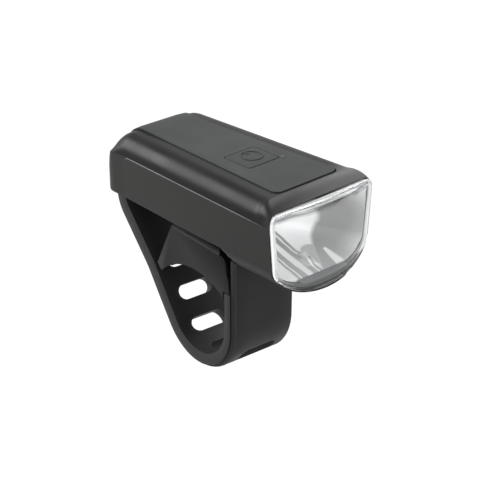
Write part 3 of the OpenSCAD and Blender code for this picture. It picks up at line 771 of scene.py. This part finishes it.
# %% The pad
PAD_T, TAIL_LIFT, WINDOW_GAP = 1.3, 0.45, 0.4
BUTTON_Y, BUTTON_W, BUTTON_L = -10.5, 11.0, 10.0
LIGHT_XY, LIGHT_HOLE_R = (6.4, -15.6), 0.95


def rounded_plate(width, length, corner, low, high, centre):
    """A plate with round corners in plan, from its low to its high face."""
    obj = block((-width / 2, -length / 2, low), (width / 2, length / 2, high))
    bevel_edges(obj, corner, 8, lambda e: abs(e.verts[0].co.z - e.verts[1].co.z) > 0.01)
    obj.data.transform(Matrix.Translation((centre[0], centre[1], 0)))
    return obj


modify(pad_sheet, "SOLIDIFY", thickness=PAD_T, offset=-0.54, use_even_offset=True, use_rim=True)
tidy_mesh(pad_sheet)
for v in pad_sheet.data.vertices:
    if v.normal.z > 0.1 and v.co.z > 42.5:
        v.co += v.normal * TAIL_LIFT * ease((v.co.y - 12) / 12)
cut(pad_sheet, rounded_plate(BUTTON_W + WINDOW_GAP, BUTTON_L + WINDOW_GAP, 0.8, 40, 50, (0, BUTTON_Y)))
cut(pad_sheet, rod(LIGHT_HOLE_R, (*LIGHT_XY, 40), (*LIGHT_XY, 50), 32))
round_edges(pad_sheet, 0.22, 3)
finish_piece(pad_sheet, "rubber_pad", "head", pad_rubber, ["top_pad"])

# %% Button and indicator
BUTTON_LOW, BUTTON_TOP, LIGHT_R = 46.8, 47.6, 0.92
MARK_X, MARK_Y, MARK_R, MARK_WIRE = 0.6, BUTTON_Y + 0.6, 3.0, 0.24

button = rounded_plate(BUTTON_W, BUTTON_L, 0.6, BUTTON_LOW, BUTTON_TOP, (0, BUTTON_Y))
round_edges(button, 0.25, 3)
bpy.ops.mesh.primitive_torus_add(major_radius=MARK_R, minor_radius=MARK_WIRE, major_segments=64,
                                 minor_segments=10, location=(MARK_X, MARK_Y, BUTTON_TOP - 0.02))
power_ring = bpy.context.object
settle(power_ring)
power_bar = rounded_plate(0.55, 2.2, 0.2, BUTTON_TOP - 0.2, BUTTON_TOP + 0.2, (MARK_X, BUTTON_Y + 3.0))
round_edges(power_bar, 0.1, 2)
stem = rod(2.5, (0, BUTTON_Y, 44.8), (0, BUTTON_Y, 46.9))
key = join(button, power_ring, power_bar, stem)
finish_piece(key, "power_key", "button", pad_rubber, ["power_button"])

indicator = rod(LIGHT_R, (*LIGHT_XY, 42.0), (*LIGHT_XY, BUTTON_TOP), 32)
round_edges(indicator, 0.2, 3)
finish_piece(indicator, "indicator_dot", "head", light_pipe, ["indicator_light"])

# %% [markdown]
# The lens is a clear cap on the head's front outline. Its face is round across the head: nearly
# flush at the two sides and 3 mm proud in the middle, so a broad clear edge shows along its top.
# One sheet makes it: out over the face, round the edge, and back over the inside of the hollow. It
# could be a block with a hollow cut out, but one sheet keeps the rows of both faces in line.

# %% The lens
LENS_MID_Z, LENS_EDGE, LENS_BULGE, LENS_T, LENS_BACK = 33.4, 0.5, 2.8, 1.6, LENS_Y - 0.02
FACE_INSET, FACE_CORNER, HOLLOW_INSET, HOLLOW_CORNER, HOLLOW_EDGE = 0.12, 0.45, 0.95, 0.3, 0.05
ROW_STEP = 0.004
LENS_CORNER = [i * math.pi / 10 for i in range(6)]
LENS_RINGS = 14
LENS_ROWS = 2 + len(LENS_CORNER) + LENS_RINGS
lens_half = half_section(LENS_Y)


def lens_outline(i, inset):
    """A point of the lens's outline, drawn in towards the middle by about inset."""
    x, z = ring_point(lens_half, i)
    away = Vector((x, z - LENS_MID_Z))
    away *= max(1 - inset / max(away.length, 1e-6), 0)
    return away.x, LENS_MID_Z + away.y


def face_y(x):
    return LENS_Y - LENS_EDGE - LENS_BULGE * bulge(x)


def hollow_y(x):
    return LENS_Y - HOLLOW_EDGE - (LENS_BULGE + LENS_EDGE - LENS_T - HOLLOW_EDGE) * bulge(x)


def lens_point(col, row, inset, surface, corner):
    """A point of one face: row 0 is the back of the edge, then round the corner and on to the middle."""
    if row == 0:
        x, z = lens_outline(col, inset)
        return x, LENS_BACK, z
    if row <= len(LENS_CORNER) + 1:
        a = LENS_CORNER[max(row - 2, 0)]
        x, z = lens_outline(col, inset + corner * (1 - math.cos(a)))
        y = surface(x) + corner * (1 - math.sin(a))
        return x, min(y, LENS_BACK - ROW_STEP * row), z
    share = 1 - ((row - len(LENS_CORNER) - 1) / LENS_RINGS) ** 1.6
    x, z = lens_outline(col, inset + corner)
    x, z = x * share, LENS_MID_Z + (z - LENS_MID_Z) * share
    return x, min(surface(x), LENS_BACK - ROW_STEP * 8), z


def lens_sheet_point(col, row):
    """From the middle of the front, out over the edge, and back in to the middle of the hollow."""
    if row < LENS_ROWS:
        return lens_point(col, LENS_ROWS - 1 - row, FACE_INSET, face_y, FACE_CORNER)
    return lens_point(col, row - LENS_ROWS, HOLLOW_INSET, hollow_y, HOLLOW_CORNER)


lens = grid_sheet("lens", RING + 1, 2 * LENS_ROWS, lens_sheet_point)
tidy_mesh(lens, 0.002)
finish_piece(lens, "clear_lens", "head", clear_plastic, ["front_lens"], 50)

# %% [markdown]
# The reflector is a bowl of moulded plastic with a coat of silver. The coat carries painted
# reflections: the smooth middle is painted white, one side a greyer tone with a bowed edge, a few
# flutes rise from the foot and lean to the side as grey bands, a painted shade and a painted highlight
# lie beside the lamp, and painted light lies towards the foot. These greys lie in the coat, on the
# reflector's own axes in millimetres: they stand for the reflections of a richer room than the plain
# studio here.

# %% The silver coat
silver_coat = skin_finish("silver_coat", (240, 241, 242), 0.62, grain=900, depth=0.0000008, spread=0.03,
                          metal=0.6)
coat = silver_coat.node_tree
drawn_x, drawn_y, drawn_z = [place_along(coat, axis) for axis in HEAD_AXES.col]
print("the coat starts with", len(coat.nodes), "nodes")

# %% The flutes' painted reflections in the coat, grey bands with a slight wander along their edges
# Each flute has its middle, in millimetres across the reflector, and half its width.
FLUTES = [(-6.6, 0.4), (-4.65, 0.9), (-0.9, 0.75), (0.85, 0.4)]
FLUTE_TURN_Z, FLUTE_LEAN, FLUTE_BEND, FLUTES_END_Z, FLUTES_FULL_Z = 30.5, 1.05, 4.0, 45.0, 37.0
COAT_WHITE, FLUTE_REFLECTION_GREY = 252, 150

wander = calc(coat, "MULTIPLY_ADD", noise(coat, object_place(coat), 300.0, 2.0), 0.9, -0.45)
above_turn = calc(coat, "SUBTRACT", drawn_z, FLUTE_TURN_Z)
bend_root = calc(coat, "SQRT", calc(coat, "MULTIPLY_ADD", above_turn, above_turn, FLUTE_BEND ** 2))
lean = calc(coat, "MULTIPLY", calc(coat, "ADD", above_turn, bend_root), FLUTE_LEAN / 2)
across = calc(coat, "ADD", wander, calc(coat, "ADD", drawn_x, lean))
flute_fade = soft_step(coat, drawn_z, FLUTES_END_Z, FLUTES_FULL_Z)
tones = grey(COAT_WHITE)
for centre, half in FLUTES:
    off_centre = calc(coat, "ABSOLUTE", calc(coat, "SUBTRACT", across, centre))
    flute = calc(coat, "MULTIPLY", soft_step(coat, off_centre, half + 0.3, half - 0.2), flute_fade)
    tones = blend(coat, "MIX", flute, tones, grey(FLUTE_REFLECTION_GREY))
print("the coat has", len(FLUTES), "flutes")

# %% The painted greyer side with the bowed edge, the painted shade beside the lamp and the painted light on the foot
GREY_SIDE_MID_Z, GREY_SIDE_BOW = 33.5, 0.09
GREY_SIDE_REFLECTION = [(8.625, 250), (9.625, 150), (14.0, 140), (16.0, 158), (18.5, 195), (22.0, 228)]
SHADE_SPOT, SHADE_OUTER, SHADE_INNER = (3.3, -31.2, 25.4), 3.7, 3.1
LIT_FOOT_FROM_Z, LIT_FOOT_FULL_Z, LIT_FOOT_SHARE = 28.8, 24.2, 0.3
SHADE_GREY, LIT_FOOT_WHITE = 188, 245

# The greyer side is a painted reflection; the bowl itself is smooth across its bowed edge.
off_mid = calc(coat, "SUBTRACT", drawn_z, GREY_SIDE_MID_Z)
bow = calc(coat, "MULTIPLY", calc(coat, "MULTIPLY", off_mid, off_mid), GREY_SIDE_BOW)
tones = blend(coat, "MULTIPLY", 1.0, tones, ramp(coat, calc(coat, "ADD", drawn_x, bow), GREY_SIDE_REFLECTION))
from_shade = add_node(coat, "VectorMath", operation="DISTANCE")
feed(coat, from_shade, {0: object_place(coat), 1: HEAD_TO_FRAME @ Vector(SHADE_SPOT)})
shade = soft_step(coat, from_shade.outputs["Value"], SHADE_OUTER * MM, SHADE_INNER * MM)
tones = blend(coat, "DARKEN", shade, tones, grey(SHADE_GREY))
# Painted light: the coat is mixed paler towards the bowl's foot.
lit_foot = calc(coat, "MULTIPLY", soft_step(coat, drawn_z, LIT_FOOT_FROM_Z, LIT_FOOT_FULL_Z), LIT_FOOT_SHARE)
tones = blend(coat, "MIX", lit_foot, tones, grey(LIT_FOOT_WHITE))
print("the greyer facet starts", GREY_SIDE_REFLECTION[0][0], "mm off the middle")

# %% The painted highlight beside the lamp, a bright streak in the coat that widens towards the lens
GLINT_X, GLINT_FROM_Y, GLINT_HALF, GLINT_WIDENS = 6.9, -30.6, 0.45, 0.2
GLINT_TOP_Z, GLINT_FULL_Z, GLINT_WHITE = 30.0, 28.0, 255

glint_from = calc(coat, "SUBTRACT", GLINT_FROM_Y, drawn_y)
glint_half = calc(coat, "MULTIPLY_ADD", glint_from, GLINT_WIDENS, GLINT_HALF)
glint_off = calc(coat, "ABSOLUTE", calc(coat, "SUBTRACT", drawn_x, GLINT_X))
glint_side = soft_step(coat, calc(coat, "DIVIDE", glint_off, glint_half), 1.15, 0.6)
glint_low = calc(coat, "MULTIPLY", glint_side, soft_step(coat, drawn_z, GLINT_TOP_Z, GLINT_FULL_Z))
painted_glint = calc(coat, "MULTIPLY", glint_low, soft_step(coat, glint_from, 0.0, 0.6))
tones = blend(coat, "MIX", painted_glint, tones, grey(GLINT_WHITE))
feed(coat, coat.nodes["Principled BSDF"], {"Base Color": tones})
print("the silver coat has", len(coat.nodes), "nodes")

# %% [markdown]
# The bowl opens to the lens's outline and goes back to a small flat face. Near its foot the flutes
# are pressed into the form as well as shown by the coat, and a small plinth rises round the lamp. A
# flange round the bowl closes the gap to the lens, so the clear edge of the lens looks bright all
# round. It could be spun from a curve, but its opening isn't round, so its rows shrink from that
# outline to the middle.

# %% The rim of the bowl
BOWL_BACK, BOWL_RIM, BOWL_EYE_Z, BOWL_COLS, BOWL_T = -22.5, -36.12, 33.0, 320, 0.5
RIM_INSET, FLANGE_INSET = 1.7, 0.5


def rim_points(inset, count):
    """The opening's outline, drawn in by inset, as evenly spaced points from the top round the left side."""
    loop = [Vector(lens_outline(HALF - 1 + i, inset)) for i in range(RING + 1)]
    run = [0.0]
    for a, b in zip(loop, loop[1:]):
        run.append(run[-1] + (b - a).length)
    points, k = [], 0
    for i in range(count + 1):
        want = run[-1] * i / count
        while k < RING - 1 and run[k + 1] < want:
            k += 1
        f = clamp((want - run[k]) / max(run[k + 1] - run[k], 1e-9))
        points.append(loop[k].lerp(loop[k + 1], f))
    return points


bowl_rim, flange_rim = rim_points(RIM_INSET, BOWL_COLS), rim_points(FLANGE_INSET, BOWL_COLS)
bowl_depths = [0.02, 0.1, 0.2, 0.3, 0.4, 0.5, 0.6, 0.68, 0.76, 0.83, 0.88, 0.92]
bowl_depths += [0.94, 0.952, 0.964, 0.976, 0.988, 1.0]
print("the bowl has", BOWL_COLS, "points round its rim and", len(bowl_depths), "rows")

# %% Lay the bowl
LAMP_Y, LAMP_FOOT, LIP_TOP = -31.0, 26.5, 23.4
FLUTE_HALF, FLUTE_DEPTH, FLUTE_TOP_Z = 0.7, 0.25, 31.0
PLINTH_R, PLINTH_SLOPE, PLINTH_TOP_Z = 1.8, 1.5, 29.0


def flute_place(x, z):
    """How far across the fan of flutes a point lies: they rise from the foot, then lean to the side."""
    above = z - FLUTE_TURN_Z
    return x + FLUTE_LEAN / 2 * (above + math.hypot(above, FLUTE_BEND))


def bowl_point(col, row):
    if row > len(bowl_depths) - 1:
        x, z = flange_rim[col]
        return x, BOWL_RIM - 0.02, z
    t = bowl_depths[row]
    x, rim_z = bowl_rim[col].x * t, soft_max(bowl_rim[col].y, LIP_TOP, 4.0)
    z = BOWL_EYE_Z + (rim_z - BOWL_EYE_Z) * t
    y = BOWL_BACK + (BOWL_RIM - BOWL_BACK) * t * t
    fade = ease((1 - t) / 0.06) * ease((FLUTE_TOP_Z - z) / 3)
    for centre, half in FLUTES:
        away = (flute_place(x, z) - centre) / FLUTE_HALF
        y += FLUTE_DEPTH * (0.5 + 0.7 * half) * math.exp(-away * away) * fade
    if z >= PLINTH_TOP_Z:
        return x, y, z
    from_lamp = math.hypot(x, y - LAMP_Y)
    return x, y, soft_max(z, LAMP_FOOT - PLINTH_SLOPE * max(from_lamp - PLINTH_R, 0), 0.4)


bowl = grid_sheet("bowl", BOWL_COLS + 1, len(bowl_depths) + 1, bowl_point)
tidy_mesh(bowl, 0.001)
close_open_edges(bowl, lambda p: p.y > -24, inside=True)
back_face = max(bowl.data.polygons, key=lambda f: f.center.y)
modify(bowl, "SOLIDIFY", thickness=BOWL_T, offset=-1.0 if back_face.normal.y < 0 else 1.0, use_rim=True)
finish_piece(bowl, "reflector_bowl", "head", silver_coat, ["reflector"], 25)

# %% [markdown]
# Below the bowl a dark lip lies in the foot of the lens. It hides the lamp from the front, so that
# riders coming the other way aren't dazzled. The lamp is a pale dome on a small square plate.

# %% The lip and the lamp
LIP_HALF, LIP_COLS, LIP_ROWS, LIP_T = 8.2, 24, 6, 0.35
LAMP_W, LAMP_TOP, DOME_R = 2.4, 26.65, 1.05


def lip_point(col, row):
    x = -LIP_HALF + 2 * LIP_HALF * col / LIP_COLS
    return x, BOWL_RIM + (hollow_y(x) + 0.1 - BOWL_RIM) * row / LIP_ROWS, LIP_TOP + 0.05


lip = grid_sheet("lip", LIP_COLS + 1, LIP_ROWS + 1, lip_point)
modify(lip, "SOLIDIFY", thickness=LIP_T, offset=-1.0, use_rim=True)
tidy_mesh(lip, 0.001)
round_edges(lip, 0.08, 2)
finish_piece(lip, "lamp_lip", "head", shroud_plastic, ["led_shroud"])

lamp = rounded_plate(LAMP_W, LAMP_W, 0.4, 26.2, LAMP_TOP, (0, LAMP_Y))
bpy.ops.mesh.primitive_uv_sphere_add(segments=32, ring_count=16, radius=DOME_R, location=(0, LAMP_Y, 26.6))
dome = bpy.context.object
settle(dome)
finish_piece(join(lamp, dome), "lamp", "head", phosphor, ["led_emitter"])

# %% [markdown]
# The lamp's board and its heat sink lie under the bowl. Their copies are cut back where the bowl comes
# down in front of them, so that only the lamp looks into it.

# %% Board and heat sink under the bowl
TO_DRAWING = Matrix.Rotation(-HEAD_TURN, 4, "Z")
BOARD_CUTS = [((-12, -40, 20), (12, -32.2, 30)), ((-12, -40, 20), (-1.2, -20, 30)),
              ((1.2, -40, 20), (12, -20, 30)), ((-12, -40, 26.4), (12, -20, 30))]
SINK_CUTS = [((-12, -40, 20), (12, -28.0, 26.6))]
SCREW_CUTS = [((-12, -40, 24.8), (12, -20, 32))]


def working_copy(node):
    """A copy of a CAD piece in the millimetres it was drawn in, with its loose triangles joined up."""
    obj = add_object(node + "_copy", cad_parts[node].data.copy())
    obj.data.transform(Matrix.Scale(1 / MM, 4))
    edit_all(obj)
    bpy.ops.mesh.remove_doubles(threshold=0.002)
    stop_editing()
    return obj


def cut_back(node, name, material, cuts):
    obj = working_copy(node)
    obj.data.transform(TO_DRAWING)
    for low, high in cuts:
        cut(obj, block(low, high))
    finish_piece(obj, name, "head", material, [node])


cut_back("led_board", "lamp_board", board_white, BOARD_CUTS)
cut_back("heat_sink", "lamp_sink", aluminium, SINK_CUTS)
cut_back("heat_sink_screws", "lamp_screws", steel, SCREW_CUTS)

# %% [markdown]
# The strap is a rubber band with slots, closed round the bar. It is modelled flat first: a band
# with its stepped section, then the slots cut through it, and last every point is carried from the
# flat band to the path round the bar. It could be drawn round the bar at once, but slots are far
# easier to cut in a flat band.

# %% The strap's path
BAR_R, STRAP_W, RIB_W, FRONT_T, LAYER_T, REAR_T = 12.7, 20.5, 19.9, 5.2, 2.7, 4.5
RUN1, RUN2, RUN1_L, TAIL_Y, TAIL_TOP = math.radians(54), math.radians(46), 17.9, 34.98, 28.2
ARC_END = BAR_R * (math.pi / 2 + RUN1)
STEP, STRAP_TOP = 0.05, 22.0


def heading(s, tail_s):
    """The strap's direction at s, from straight down in front to straight up behind."""
    if s < 0:
        return -math.pi / 2
    if s < ARC_END:
        return -math.pi / 2 + s / BAR_R
    bend = ARC_END + RUN1_L
    first = RUN1 + (RUN2 - RUN1) * ease((s - bend + 3) / 6)
    return first + (math.pi / 2 - RUN2) * ease((s - tail_s + 3) / 6)


def strap_path(tail_s):
    points, s, y, z = [], 0.0, -BAR_R, 0.0
    while z < TAIL_TOP or s < ARC_END:
        a = heading(s + STEP / 2, tail_s)
        points.append((y, z))
        y, z, s = y + STEP * math.cos(a), z + STEP * math.sin(a), s + STEP
    return points


# A first guess for where the tail turns up, then a few steps until the tail stands at TAIL_Y.
tail_s = ARC_END + RUN1_L + 20.4
for _ in range(4):
    tail_s += (TAIL_Y - strap_path(tail_s)[-1][0]) / math.cos(RUN2)
PATH = strap_path(tail_s)
STRAP_END = (len(PATH) - 1) * STEP
print("the strap is", round(STRAP_END + STRAP_TOP, 1), "mm long")


def on_path(s, t, x):
    """From the flat band, s along it and t thick, to the closed strap."""
    if s <= 0:
        return x, -BAR_R - t, -s
    i = min(int(s / STEP), len(PATH) - 2)
    f = s / STEP - i
    y = PATH[i][0] + (PATH[i + 1][0] - PATH[i][0]) * f
    z = PATH[i][1] + (PATH[i + 1][1] - PATH[i][1]) * f
    a = heading(s, tail_s)
    return x, y + t * math.sin(a), z - t * math.cos(a)


# %% [markdown]
# The strap has a wide inner layer and a slightly narrower rib on it, so a step runs along each edge;
# its wall and floor are darkened in the rubber's finish, a painted shade. The layer is thickest behind
# and the rib in front, under the light. The top end narrows to an eye for the pin.

# %% The section of the flat band
EYE_FROM, EYE_THIN_FROM, EYE_HALF, EYE_INNER = -11.3, -17.4, 6.4, 1.5
INNER_EDGE = 0.3
LAYER_SHIFT, RIB_SHIFT = (0.756, -0.54), (-0.7, 0.7)


def round_thickness(s, shift, radius):
    """Thickness over the bar where the outside is a circle about a point off the bar's centre."""
    a = clamp(s / BAR_R, 0, ARC_END / BAR_R)
    toward = -shift[0] * math.cos(a) - shift[1] * math.sin(a)
    off = shift[0] ** 2 + shift[1] ** 2
    return toward + math.sqrt(radius ** 2 - off + toward ** 2) - BAR_R


def layer_thickness(s):
    here = round_thickness(s, LAYER_SHIFT, BAR_R + LAYER_T + LAYER_SHIFT[0])
    return here + (REAR_T - here) * ease((s - ARC_END) / 10)


def rib_thickness(s):
    here = round_thickness(s, RIB_SHIFT, BAR_R + FRONT_T + RIB_SHIFT[0])
    return max(here, layer_thickness(s) + 0.02)


def band_section(s):
    """Half the band's section at s: points (x, t) from the inner face's middle to the rib's middle."""
    wide = STRAP_W / 2 if s >= EYE_FROM else EYE_HALF
    inner = 0.0 if s >= EYE_THIN_FROM else EYE_INNER
    layer, rib, rib_half = layer_thickness(max(s, 0)), rib_thickness(max(s, 0)), RIB_W / 2
    r = min(0.6, (rib - layer) * 0.6)
    points = [(0, inner), (wide * 0.55, inner), (wide - INNER_EDGE, inner)]
    points += [(wide - 0.09, inner + 0.09), (wide, inner + INNER_EDGE)]
    if wide > rib_half:
        points += [(wide, layer - 0.22), (wide - 0.06, layer - 0.06), (wide - 0.2, layer)]
    else:
        points += [(wide, layer - 0.3), (wide, layer - 0.15), (wide + 0.15, layer)]
    points += [(rib_half, layer), (rib_half, rib - r), (rib_half - 0.3 * r, rib - 0.3 * r)]
    return points + [(rib_half - r, rib), (rib_half / 2, rib), (0, rib)]


# %% Lay the flat band
ROW_GAP = 0.9
BAND_RING = 2 * len(band_section(0)) - 2
band_rows = [-STRAP_TOP, EYE_THIN_FROM - 0.01, EYE_THIN_FROM, -14.3, EYE_FROM - 0.01, EYE_FROM]
while band_rows[-1] < STRAP_END - 1:
    band_rows.append(band_rows[-1] + ROW_GAP)
band_rows.append(STRAP_END)


def band_point(col, row):
    x, t = ring_point(band_section(band_rows[row]), col)
    return x, band_rows[row], t


band = grid_sheet("band", BAND_RING + 1, len(band_rows), band_point)
tidy_mesh(band, 0.002)
close_open_edges(band, lambda p: p.y < -20)
close_open_edges(band, lambda p: p.y > STRAP_END - 1)
print("flat band:", len(band.data.polygons), "faces")

# %% [markdown]
# Five slots with round ends and a square hole for the hook are cut while the band is flat, where a
# plain block does it. Then the edges are rounded and the band is carried to its path. The eye round
# the pin is a short tube.

# %% Slots, path and eye
SLOT_COUNT, SLOT_L, SLOT_W, SLOT_FROM, SLOT_PITCH = 5, 12.5, 4.6, 8.0, 10.2
HOOK_Z, HOOK_H = 22.4, 2.9
PIN_YZ, EYE_R, PIN_R = (-12.9, 17.4), 2.6, 1.3

for i in range(SLOT_COUNT):
    slot_tool = slot_block(SLOT_L, SLOT_W, -3, 9)
    slot_tool.data.transform(Matrix.Rotation(math.pi / 2, 4, "X"))
    slot_tool.data.transform(Matrix.Translation((0, SLOT_FROM + SLOT_PITCH * i, 0)))
    cut(band, slot_tool)
hook_from = next(i for i, p in enumerate(PATH) if p[1] > HOOK_Z and p[0] > 20) * STEP
cut(band, block((-SLOT_L / 2, hook_from, -2), (SLOT_L / 2, hook_from + HOOK_H, 8)))
round_edges(band, 0.3, 2, 55)
for v in band.data.vertices:
    v.co = on_path(v.co.y, v.co.z, v.co.x)
eye = rod(EYE_R, (-EYE_HALF, *PIN_YZ), (EYE_HALF, *PIN_YZ))
cut(eye, rod(PIN_R, (-8, *PIN_YZ), (8, *PIN_YZ)))
finish_piece(join(band, eye), "rubber_strap", "mount", strap_rubber, ["strap"], 40,
             MOUNT_TO_FRAME)

# %% [markdown]
# The saddle and the port cover have the right shape in the frame already, but their edges are
# knife-sharp. Each is copied, its loose triangles are merged into whole faces, and the edges are
# rounded, so that they catch the light as moulded edges do. The saddle also gets a plate over each
# end of the strap's pin. They could be modelled anew, but a copy keeps the size that the frame
# gives.

# %% Copies with rounded edges
CHEEK_X, CHEEK_Y, CHEEK_Z, CHEEK_LEAN, CHEEK_ROUND = (9.2, 10.15), (-15.3, -9.5), (11.5, 21.9), 2.4, 1.6


def rounded_copy(node, width, added=()):
    obj = working_copy(node)
    for piece in added:
        cut(obj, piece, "UNION")
    edit_all(obj)
    bpy.ops.mesh.dissolve_limited(angle_limit=math.radians(1.0))
    stop_editing()
    round_edges(obj, width, 3, 35)
    return obj


def cheek(side):
    """A plate over the end of the strap's pin, level with the saddle's near face."""
    low_x, high_x = sorted(side * x for x in CHEEK_X)
    plate = block((low_x, CHEEK_Y[0], CHEEK_Z[0]), (high_x, CHEEK_Y[1], CHEEK_Z[1]))
    for v in plate.data.vertices:
        v.co.y += CHEEK_LEAN * (v.co.y < -15 and v.co.z > 21)
    bevel_edges(plate, CHEEK_ROUND, 6, lambda e: all(v.co.y < -12 and v.co.z > 21 for v in e.verts))
    return plate


saddle = rounded_copy("mount_base", 0.3, [cheek(1), cheek(-1)])
finish_piece(saddle, "saddle", "mount", black_plastic, ["mount_base"], 30, MOUNT_TO_FRAME)
port_flap = rounded_copy("charge_port_cover", 0.2)
finish_piece(port_flap, "port_flap", "port_cover", pad_rubber, ["charge_port_cover"], 30,
             MOUNT_TO_FRAME)

# %% [markdown]
# The pieces inside keep their CAD solids, which are right as they are, and only get a finish.

# %% Finishes for the CAD pieces that stay
CAD_FINISHES = [
    (steel, ["strap_pin", "spring_washer", "pivot_screw", "housing_screws", "board_screws", "usb_socket"]),
    (liner_rubber, ["saddle_liner", "housing_seal"]),
    (switch_plastic, ["tactile_switch", "switch_plunger"]),
    (nylon, ["swivel_washer"]),
    (gasket_silicone, ["lens_gasket"]),
    (foil, ["battery_cell"]),
    (foam, ["battery_foam"]),
    (board_green, ["main_circuit_board"]),
]
for material, nodes in CAD_FINISHES:
    for node in nodes:
        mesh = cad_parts[node].data
        mesh.materials.clear()
        mesh.materials.append(material)
for spare in [m for m in bpy.data.materials if m.name.startswith("sort_")]:
    bpy.data.materials.remove(spare)
print(sum(len(nodes) for _, nodes in CAD_FINISHES), "CAD pieces have their finish")

# %% [markdown]
# The camera stands where the photograph was taken from: in front, to the left and above, with a
# long lens.

# %% Camera
AZIMUTH, ELEVATION, DISTANCE = math.radians(-37.8), math.radians(26.5), 0.3394
target = Vector((-0.0103, -0.0199, 0.0302))
back = Vector((math.sin(AZIMUTH) * math.cos(ELEVATION), -math.cos(AZIMUTH) * math.cos(ELEVATION),
               math.sin(ELEVATION)))
camera_data = bpy.data.cameras.new("camera")
camera_data.lens, camera_data.sensor_width = 97.5, 36.0
camera_data.clip_start, camera_data.clip_end = 0.01, 20.0
camera = add_object("camera", camera_data)
camera.location = target + back * DISTANCE
camera.rotation_euler = (-back).to_track_quat("-Z", "Y").to_euler()
bpy.context.scene.camera = camera
print("the camera stands at", [round(c, 3) for c in camera.location])

# %% [markdown]
# The light is a plain studio with four soft lamps. The strongest stands behind and draws the bright
# edges of the top. One hangs above, a weak one stands at the left, and a broad one in front lights
# the lens. One lamp would be simpler, but it would leave the far edges of a black object without
# light.

# %% Lamps
LAMPS_AIM = Vector((0, 0, 0.03))


def soft_lamp(name, place, size, power):
    data = bpy.data.lights.new(name, "AREA")
    data.shape, data.size, data.energy = "DISK", size, power
    obj = add_object(name, data)
    obj.location = place
    obj.rotation_euler = (LAMPS_AIM - Vector(place)).to_track_quat("-Z", "Y").to_euler()
    print(name, "has", power, "watts")


soft_lamp("lamp_above", (0.32, 0.22, 0.62), 0.5, 5.0)
soft_lamp("lamp_behind", (-0.47, 0.60, 0.41), 0.6, 12.0)
soft_lamp("lamp_left", (-0.7, -0.25, 0.35), 0.5, 1.6)
soft_lamp("lamp_front", (0.12, -0.9, 0.36), 1.0, 2.8)

# %% [markdown]
# The floor and the room are white in the picture, and also in what mirrors and glass show of them. For
# all other rays the room is a pale, dimmer light, so that the white doesn't wash out the shadows.

# %% Floor and room
FLOOR_Z, FLOOR_GREY, FLOOR_WHITE_SHARE, ROOM_GREY, ROOM_STRENGTH = -0.06, 0.85, 0.93, 0.8, 0.55


def white_for_camera(tree):
    """A mask that is 1 for rays from the camera, and for what mirrors and glass show."""
    rays = add_node(tree, "LightPath").outputs
    seen = calc(tree, "MAXIMUM", rays["Is Camera Ray"], rays["Is Glossy Ray"])
    return calc(tree, "MAXIMUM", seen, rays["Is Transmission Ray"])


bpy.ops.mesh.primitive_plane_add(size=6, location=(0, 0, FLOOR_Z))
floor = bpy.context.object
floor.name = "floor"
floor_paint, floor_tree, floor_shader = new_material("floor_paint")
feed(floor_tree, floor_shader, {"Base Color": (*(FLOOR_GREY,) * 3, 1), "Roughness": 0.9})
floor_white = calc(floor_tree, "MULTIPLY", white_for_camera(floor_tree), FLOOR_WHITE_SHARE)
floor_glow = add_node(floor_tree, "Emission")
mix_shaders(floor_tree, floor_white, floor_shader.outputs["BSDF"], floor_glow.outputs["Emission"])
floor.data.materials.append(floor_paint)

room = bpy.data.worlds.new("room")
bpy.context.scene.world = room
room.use_nodes = True
room_tree = room.node_tree
room_light = room_tree.nodes["Background"]
feed(room_tree, room_light, {"Color": (*(ROOM_GREY,) * 3, 1), "Strength": ROOM_STRENGTH})
room_white = add_node(room_tree, "Background")
feed(room_tree, room_white, {"Color": (1, 1, 1, 1)})
mix_shaders(room_tree, white_for_camera(room_tree), room_light.outputs["Background"],
            room_white.outputs["Background"], "World Output")
bpy.context.scene.view_settings.view_transform = "Standard"
print("the floor lies", round(-FLOOR_Z / MM), "mm below the bar's centre")
